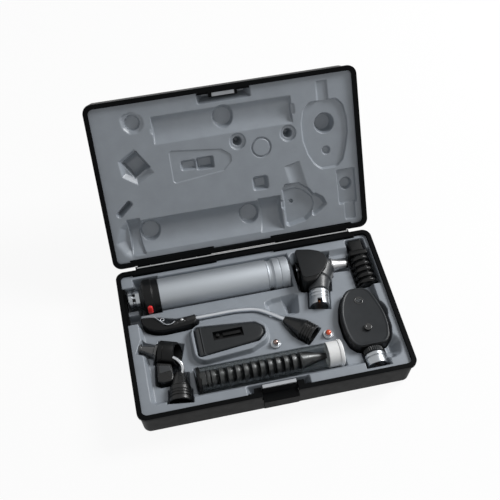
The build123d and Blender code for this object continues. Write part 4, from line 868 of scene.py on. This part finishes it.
upright("lens_wheel_toothed", 97.0, -13.0, wheel, "diopter_wheel", "black_plastic", fine_black, "lens_wheel",
        segments=240, fluting=(16.3, 22.1, 40, 0.5))
eye_foot, eye_up = Vector((eye_x, -64.0, tool_level)), Vector((0, 1, 0))
socket_chrome("ophthalmoscope_socket_chromed", eye_foot, eye_up, 11.8, "ophthalmoscope", "ophthalmoscope_socket", 9.8,
              notch_turn=math.pi)
lathe("ophthalmoscope_contact_pin", [(5.2, 0.0), (5.2, 0.8), (5.6, 1.3), (9.8, 1.3), (9.8, 0.0)], eye_foot,
      eye_foot + eye_up, "ophthalmoscope", "copper", copper_pin, segments=32, node="ophthalmoscope_contact")
lathe("ophthalmoscope_collar_knurled", [(11.9, 0.0), (11.9, 7.6), (12.4, 8.4), (13.0, 8.4), (13.2, 8.35),
                                        (16.6, 8.35), (16.8, 8.0), (16.9, 0.0)],
      eye_foot, eye_foot + eye_up, "ophthalmoscope", "black_plastic", charcoal_moulding, segments=240,
      fluting=(12.9, 16.7, 30, 0.6), node="ophthalmoscope_collar")


# ---- throat lamp ------------------------------------------------------------------------
# Bent chromed tube between a black nylon blade holder with a spring clip and a black
# ribbed socket that tapers to the tube.
lamp_level = 24.5
holder_plan = [(-104.2, 24.6), (-103.6, 18.0), (-99.0, 12.6), (-92.5, 9.2), (-86.0, 8.0), (-66.0, 8.6), (-58.5, 9.8),
               (-56.0, 12.6), (-56.0, 18.8), (-69.3, 17.4), (-78.6, 15.0), (-82.2, 11.4), (-88.1, 17.2), (-92.7, 23.2)]
slab("blade_holder_moulded", holder_plan, rounded_edges(17.0, 28.9, 1.6, 1.2), "throat_lamp",
     fine_black, corner=2.4, node="blade_holder")


def wire(name, points, radius, body, material, node, ease, flat=1.0, segments=32):
    """Bar of round or flattened section swept along eased plan points of (x, y, z)."""
    path = [Vector(p) for p in points]
    line = [path[0]]
    for p, q, r in zip(path, path[1:], path[2:]):
        reach = min(ease, 0.48 * (q - p).length, 0.48 * (r - q).length)
        a, b = q + (p - q).normalized() * reach, q + (r - q).normalized() * reach
        line += [a * (1 - t) ** 2 + q * 2 * t * (1 - t) + b * t ** 2 for t in [k / 12 for k in range(13)]]
    line.append(path[-1])
    spots = []
    for i, point in enumerate(line):
        way = (line[min(i + 1, len(line) - 1)] - line[max(i - 1, 0)]).normalized()
        side = way.cross(Vector((0, 0, 1))).normalized()
        top = side.cross(way)
        for j in range(segments):
            angle = 2 * math.pi * j / segments
            spots.append(point + side * radius * math.cos(angle) + top * radius * flat * math.sin(angle))
    faces = [(i * segments + j, (i + 1) * segments + j, (i + 1) * segments + (j + 1) % segments,
              i * segments + (j + 1) % segments) for i in range(len(line) - 1) for j in range(segments)]
    faces += [tuple(range(segments)), tuple(reversed([(len(line) - 1) * segments + j for j in range(segments)]))]
    return make_object(name, spots, faces, body, material, node)


satin_chrome = plated("satin_chrome_plate", "#d2d6db", 0.38)
wire("throat_tube_chromed", [(x, y, lamp_level) for x, y in tube_route], 2.0, "throat_lamp", satin_chrome,
     "throat_tube", ease=16.0)
clip_points = [(-101.0, 24.6, 28.6), (-92.6, 23.5, 29.9), (-87.9, 17.3, 30.0), (-82.6, 11.8, 29.8),
               (-78.0, 12.4, 29.4), (-75.0, 14.6, 29.2)]
wire("blade_clip_spring", clip_points, 0.36, "throat_lamp", satin_chrome, "blade_clip", ease=2.6, flat=1.6)
curl = [(-85.6 + 1.7 * math.cos(k * 0.52), 18.4 + 1.7 * math.sin(k * 0.52), 29.3 - 0.12 * k) for k in range(-5, 8)]
wire("blade_clip_curl", curl, 0.32, "throat_lamp", satin_chrome, "blade_clip", ease=0.8)
holder_sleeve = [(0.0, 0.0), (0.0, 2.6), (0.5, 3.1), (4.6, 3.3), (4.9, 2.9), (6.2, 2.9), (6.5, 3.3), (11.0, 3.3),
                 (11.3, 2.9), (12.6, 2.9), (12.9, 3.4), (21.4, 3.4), (21.6, 2.6), (21.6, 0.0)]
lathe("blade_holder_sleeve", holder_sleeve, Vector((-77.6, 12.6, 26.3)), Vector((-56.2, 16.0, 26.3)),
      "throat_lamp", "black_plastic", gloss_black, ease=0.2, node="blade_holder")
screw = [(28.4, 0.0), (28.4, 1.4), (29.6, 1.35), (30.0, 0.9), (30.1, 0.0)]
upright("clip_screw_head", -68.5, 15.0, screw, "throat_lamp", "satin_steel", speculum_steel, "clip_screw", segments=32)
socket_from, socket_to = Vector((20.3, -1.4, lamp_level)), Vector((41.6, -22.8, lamp_level))
reach = (socket_to - socket_from).length
ribbed = [(0.0, 0.0), (0.0, 3.0), (reach - 13.0, 8.2), (reach - 11.4, 9.0)]
for i in range(4):
    at = reach - 11.0 + 2.4 * i
    ribbed += [(at, 9.2), (at + 1.3, 9.3), (at + 1.5, 8.3), (at + 2.2, 8.3)]
ribbed += [(reach - 1.4, 9.4), (reach - 0.2, 9.3), (reach, 8.8), (reach, 7.4), (reach - 8.0, 7.4), (reach - 8.0, 0.0)]
lathe("throat_lamp_socket_ribbed", ribbed, socket_from, socket_to, "throat_lamp", "black_plastic", gloss_black,
      ease=0.12, node="throat_lamp_socket")


# ---- operating head -----------------------------------------------------------------------
# Open operating head: a glossy grey speculum on a black nylon barrel with a focus ring,
# carried by a short acetal bracket on a tapered stem and a ribbed socket.
head_start, head_end = Vector((-94.0, -10.5, tool_level)), Vector((-74.5, -17.0, tool_level))
barrel_long = (head_end - head_start).length
barrel = [(4.7, 8.9), (4.7, 10.7), (4.9, 10.8), (barrel_long - 1.2, 10.8), (barrel_long - 0.1, 10.1),
          (barrel_long, 9.6), (barrel_long - 0.2, 8.9), (barrel_long - 6.0, 8.8), (4.7, 8.9)]
piece = lathe("operating_barrel_moulded", barrel, head_start, head_end, "operating_head", "black_plastic", fine_black,
              ease=0.3)
barrel_way = (head_end - head_start) / barrel_long
for vertex in piece.data.vertices:
    spot = vertex.co / MM - head_start
    late = max(0.0, (spot.dot(barrel_way) - barrel_long + 7.5) / 7.5)
    vertex.co -= barrel_way * (0.32 * MM * late * (spot.z + 10.8))
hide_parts("operating_barrel")
scale = [(0.5, 8.9), (0.5, 10.0), (0.9, 10.6), (1.3, 10.8), (4.4, 10.8), (4.55, 10.6), (4.55, 8.9), (0.5, 8.9)]
lathe("operating_focus_ring", scale, head_start, head_end, "focus_ring", "black_plastic", fine_black,
      ease=0.15, node="operating_scale_ring")
tip = Vector((-109.3, -3.4, tool_level))
tip_long = (head_start - tip).length
grey_nylon = plastic("grey_nylon", "#2e3032", 0.24, grain=0.3, coat=0.5, specular=0.9)
tip_cone = [(0.0, 2.4), (0.0, 4.2), (0.3, 4.5), (1.3, 4.6), (1.6, 3.7), (2.0, 3.4), (tip_long - 3.4, 6.2),
            (tip_long - 2.6, 7.6), (tip_long - 0.4, 8.6), (tip_long - 0.2, 8.6), (tip_long - 0.2, 2.4), (0.0, 2.4)]
lathe("operating_speculum_moulded", tip_cone, tip, head_start, "operating_head", "grey_disc", grey_nylon, ease=0.2,
      node="operating_speculum")
stem_foot, stem_top = Vector((-82.6, -61.5, tool_level)), Vector((-79.2, -34.5, tool_level))
stem_long = (stem_top - stem_foot).length
ribs = [(9.0, 0.0), (9.0, 7.9), (0.5, 7.9), (0.0, 8.3), (0.0, 9.1), (0.5, 9.6)]
for i in range(3):
    at = 3.4 + 2.6 * i
    ribs += [(at, 9.6 - 0.1 * i), (at + 0.4, 8.7), (at + 1.0, 8.7), (at + 1.4, 9.5 - 0.1 * i)]
ribs += [(13.4, 9.2), (14.0, 8.6), (14.0, 0.0)]
grip_black = plastic("moulded_grip_black", "#090a0b", 0.32, grain=0.4)
lathe("operating_socket_ribbed", ribs, stem_foot, stem_top, "operating_head", "black_plastic", grip_black,
      node="operating_socket")
taper = [(14.1, 0.0), (14.1, 8.5), (14.5, 8.6), (stem_long - 0.8, 5.3), (stem_long, 4.4), (stem_long, 0.0)]
lathe("operating_stem_moulded", taper, stem_foot, stem_top, "operating_head", "black_plastic", gloss_black,
      node="operating_taper")
block_plan = [(-98.4, -40.0), (-94.0, -42.0), (-86.4, -42.0), (-84.5, -38.0), (-84.5, -25.6), (-96.6, -22.2)]
bracket = slab("operating_bracket_moulded", block_plan, rounded_edges(16.0, 28.9, 1.0, 1.4), "operating_head",
               gloss_black, corner=1.6)
# A thin lighter grey plate on the black bracket's top paints the light falling on its upper facet.
slab("operating_bracket_painted_top_light", [(-96.2, -33.6), (-86.0, -32.6), (-86.0, -27.6), (-95.4, -25.6)],
     rounded_edges(28.7, 29.4, 0.2, 0.5), "operating_head", neck_grey_and_painted_highlight, corner=0.8,
     node="operating_bracket")
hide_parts("operating_bracket")
light_line = [(-82.0, -22.0, 31.8), (-79.2, -25.0, 32.5), (-76.3, -29.4, 31.6), (-75.7, -33.4, 29.4),
              (-77.3, -36.8, 27.2)]
wire("operating_light_tube_chromed", light_line, 1.5, "operating_head", bright_chrome,
     "operating_light_tube", ease=5.0)


# ---- disposable specula in their tube -------------------------------------------------------
# Clear polystyrene tube with a black foot and a white press-on cap; inside, a nested
# row of black single-use specula against a black plug.
tube_from, tube_next = Vector((0, -44.3, tool_level)), Vector((1, -44.3, tool_level))


def on_tube(name, profile, body, slot_name, material, node, **more):
    """Turned piece on the specula tube's axis that stands for one node."""
    return lathe(name, profile, tube_from, tube_next, body, slot_name, material, node=node, **more)


clear_styrene = bpy.data.materials.new("clear_polystyrene")
clear_styrene.use_nodes = True
tree = clear_styrene.node_tree
surface = tree.nodes["Principled BSDF"]
feed(tree, surface, {"Base Color": shade("#a4abaf"), "Roughness": 0.1, "Specular IOR Level": 1.0})
edge = add_node(tree, "ShaderNodeLayerWeight", None, {"Blend": 0.25})
shown = remap(tree, edge.outputs["Fresnel"], 0.04, 1.0, 0.004, 0.3)
through = add_node(tree, "ShaderNodeBsdfTransparent", None, {"Color": shade("#fbfcfc")})
whole = add_node(tree, "ShaderNodeMixShader", None, {0: shown, 1: through.outputs[0], 2: surface.outputs[0]})
feed(tree, tree.nodes["Material Output"], {"Surface": whole.outputs[0]})
wall_profile = [(-62.5, 9.6), (-62.6, 10.6), (49.8, 10.6), (50.0, 9.6), (-62.5, 9.6)]
on_tube("specula_tube_clear", wall_profile, "specula_dispenser", "clear_tube", clear_styrene, "specula_tube", ease=0.1,
        segments=128)
seam_profile = [(-8.6, 10.55), (-8.6, 10.75), (-8.2, 10.95), (-7.8, 10.75), (-7.8, 10.55), (-8.6, 10.55)]
on_tube("specula_tube_seam", seam_profile, "specula_dispenser", "clear_tube", clear_styrene, "specula_tube", ease=0.1,
        segments=128)
foot_profile = [(-65.7, 0.0), (-65.7, 10.6), (-65.2, 11.2), (-63.2, 11.2), (-62.8, 10.9), (-62.7, 0.0)]
on_tube("specula_tube_foot_moulded", foot_profile, "specula_dispenser", "black_plastic", fine_black,
        "specula_tube_foot")
speculum_black = plastic("moulded_polypropylene_black", "#040505", 0.36, grain=0.3, relief=0.005, coat=0.12,
                         specular=0.9)
for i in range(11):
    x = -53.8 + 7.0 * i
    shape = [(x, 5.2), (x, 9.3), (x + 0.3, 9.5), (x + 3.7, 8.6), (x + 3.9, 7.2), (x + 6.2, 6.2), (x + 6.4, 5.2)]
    on_tube("disposable_speculum_%02d" % (i + 1), shape, "specula_dispenser", "black_plastic", speculum_black,
            "disposable_specula", segments=64)
plug = [(-62.6, 0.0), (-62.6, 9.4), (-58.4, 9.4), (-58.1, 8.2), (-57.6, 8.2), (-57.3, 9.2), (-54.6, 8.8), (-54.2, 7.0),
        (-54.0, 0.0)]
on_tube("disposable_specula_backing", plug, "specula_dispenser", "black_plastic", speculum_black, "disposable_specula",
        segments=64)
x = 23.2
last_cone = [(x, 5.2), (x, 9.0), (x + 0.3, 9.3), (x + 1.6, 9.3), (x + 2.0, 7.8), (x + 23.6, 2.4), (x + 24.0, 2.0),
             (x + 24.0, 1.2)]
on_tube("disposable_speculum_12", last_cone, "specula_dispenser", "black_plastic", speculum_black,
        "disposable_specula", segments=64)
white_cap = plastic("white_polyethylene", "#f6f7f7", 0.4, grain=0.5, vary=0.01)
cap_profile = [(50.3, 9.8), (47.8, 10.75), (47.8, 11.0), (48.1, 11.2), (57.8, 11.2), (58.0, 11.7), (58.4, 11.8),
               (60.4, 11.8), (61.0, 11.5), (61.3, 11.0), (61.3, 0.0)]
on_tube("tube_cap_moulded", cap_profile, "dispenser_cap", "white_cap", white_cap, "tube_cap")


# ---- reusable specula and lamp box ----------------------------------------------------------
# Five black reusable specula nested on a charcoal holder; beside them the charcoal
# lamp box with its rounded end, slot and black insert; then two spare lamps.
stack_foot, stack_up = Vector((103.2, 16.5, tool_level)), Vector((103.2, 17.5, tool_level))
stack_black = plastic("moulded_polyamide_black", "#060708", 0.22, grain=0.3, relief=0.01, specular=0.35)
for i in range(5):
    y = 0.2 + 6.3 * i
    shape = [(y + 2.0, 4.3), (y, 4.4), (y, 8.2), (y + 0.9, 9.2), (y + 1.6, 9.55), (y + 3.0, 9.55), (y + 3.4, 9.1),
             (y + 6.0, 7.9), (y + 6.1, 4.3)]
    lathe("reusable_speculum_%d" % (i + 1), shape, stack_foot, stack_up, "specula_set", "black_plastic", stack_black,
          node="reusable_specula")
post = lathe("specula_post", [(0.3, 0.0), (0.3, 4.0), (31.9, 4.0), (31.9, 0.0)], stack_foot, stack_up, "specula_set",
             "charcoal", charcoal_moulding, segments=48)
grip_low = slab("specula_grip_base", [(94.6, 48.5), (111.8, 48.5), (111.8, 54.0), (94.6, 54.0)],
                rounded_edges(17.0, 30.8, 1.0, 1.6), "specula_set", fine_black)
grip_high = slab("specula_grip_block", [(96.9, 53.0), (109.5, 53.0), (109.5, 66.3), (96.9, 66.3)],
                 rounded_edges(18.1, 29.4, 1.0, 1.6), "specula_set", fine_black, corner=1.6)
for piece in (post, grip_low, grip_high):
    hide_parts("specula_holder")

box_plan = [(-57.2, -24.7), (-11.4, -19.9), (-7.0, -18.7), (-3.4, -16.6), (-1.0, -13.6), (-0.2, -10.2), (-1.0, -6.8),
            (-3.4, -3.8), (-7.0, -1.7), (-11.4, -0.5), (-57.2, 4.3)]
lamp_box = slab("lamp_box_moulded", box_plan, rounded_edges(21.3, 30.1, 1.0, 2.4), "lamp_holder",
                charcoal_moulding, corner=1.4)
carve(lamp_box, [cutter_block(-45.0, -18.5, -12.4, -3.8, 24.2, 34.0)])
box_end = [(0.0, 0.0), (0.0, 2.6), (0.7, 4.5), (2.2, 5.22), (26.8, 5.22), (28.3, 4.5), (29.0, 2.6), (29.0, 0.0)]
# The rounded end takes the lighter grey moulding: a painted highlight band where light catches the curve of the
# charcoal box.
lathe("lamp_box_rounded_end", box_end, Vector((-54.9, -24.7, 24.9)), Vector((-54.9, 4.3, 24.9)),
      "lamp_holder", "charcoal", neck_grey_and_painted_highlight, node="lamp_box")
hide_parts("lamp_box")
insert = slab("lamp_box_insert_bed", [(-44.8, -12.2), (-18.7, -12.2), (-18.7, -4.0), (-44.8, -4.0)],
              rounded_edges(24.2, 25.8, 0.3, 0.3), "lamp_holder", fine_black, corner=0.8)
insert_bar = slab("lamp_box_insert_bar", [(-36.5, -8.2), (-20.0, -8.2), (-20.0, -4.6), (-36.5, -4.6)],
                  rounded_edges(25.4, 27.8, 0.3, 0.5), "lamp_holder", fine_black, corner=0.6)
insert_post = lathe("lamp_box_insert_post", [(25.4, 0.0), (25.4, 1.8), (28.0, 1.8), (28.5, 1.3), (28.6, 0.0)],
                    Vector((-41.0, -6.4, 0)), Vector((-41.0, -6.4, 1)), "lamp_holder", "black_plastic", fine_black,
                    segments=48)
for piece in (insert, insert_bar, insert_post):
    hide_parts("lamp_box_insert")

orange_resin = plastic("orange_resin", "#e0562f", 0.25, grain=0.3, coat=0.3)
blued_chrome = plated("heat_tinted_chrome", "#8d7a74", 0.16)
lamp_sleeve = [(19.5, 0.0), (19.5, 2.2), (23.2, 2.3), (23.3, 4.4), (23.6, 4.6), (24.2, 4.6), (24.5, 4.3), (24.3, 3.4),
               (24.5, 2.7), (26.4, 2.6), (26.5, 0.0)]
lamp_tip = [(26.6, 0.0), (26.6, 2.5), (27.8, 2.45), (28.7, 1.7), (29.1, 0.7), (29.15, 0.0)]
for letter, x, y, cap_finish, slot_name in (("a", 7.2, -23.7, blued_chrome, "chrome"),
                                            ("b", 54.4, -24.2, orange_resin, "orange_base")):
    upright("spare_lamp_%s_flange" % letter, x, y, lamp_sleeve, "spare_lamp_" + letter, "chrome", worn_chrome,
            "spare_lamp_%s_sleeve" % letter, segments=64)
    upright("spare_lamp_%s_tip" % letter, x, y, lamp_tip, "spare_lamp_" + letter, slot_name, cap_finish,
            "spare_lamp_%s_bulb" % letter, segments=64)


# ---- hinge, latch and the cells inside the handle --------------------------------------------
# Drawn steel hinge and latch pins, an ABS rocker with a grooved aluminium hook bar,
# and the printed cells and coil spring that the handle hides.
drawn_steel = plated("drawn_steel", "#c4c5c6", 0.3, brush=0.003, axis=1)
grooved_alloy = plated("satin_aluminium", "#a9acb0", 0.5, brush=0.004, axis=1)
cell_print = plastic("printed_cell_jacket", "#33363c", 0.35)
for node, material in (("hinge_pin", drawn_steel), ("latch_pin", drawn_steel), ("latch_hook_bar", grooved_alloy),
                       ("lid_catch_bar", grooved_alloy), ("latch_flap", case_abs), ("battery_cells", cell_print),
                       ("battery_spring", drawn_steel)):
    finish_node(node, material)


def hinge_lip(name, first, last, body):
    """Part of a tube wall round the hinge line, between two angles measured from +Y towards +Z."""
    count = 14
    spots, faces = [], []
    for x in (-98.6, 99.0):
        for radius in (1.76, 1.92):
            for k in range(count + 1):
                angle = math.radians(first + (last - first) * k / count)
                spots.append((x, hinge_line.y + radius * math.cos(angle), hinge_line.z + radius * math.sin(angle)))
    row = count + 1
    for k in range(count):
        faces += [(k, k + 1, 2 * row + k + 1, 2 * row + k), (row + k + 1, row + k, 3 * row + k, 3 * row + k + 1),
                  (k + 1, k, row + k, row + k + 1), (2 * row + k, 2 * row + k + 1, 3 * row + k + 1, 3 * row + k)]
    faces += [(0, 2 * row, 3 * row, row), (count, row + count, 3 * row + count, 2 * row + count)]
    make_object(name, spots, faces, body, case_abs)


# A thin lip curls from each half round the hinge pin and closes the gap behind it.
hinge_lip("base_hinge_lip", 182.0, 333.0, "case")
hinge_lip("lid_hinge_lip", 54.0, -15.0, "lid")
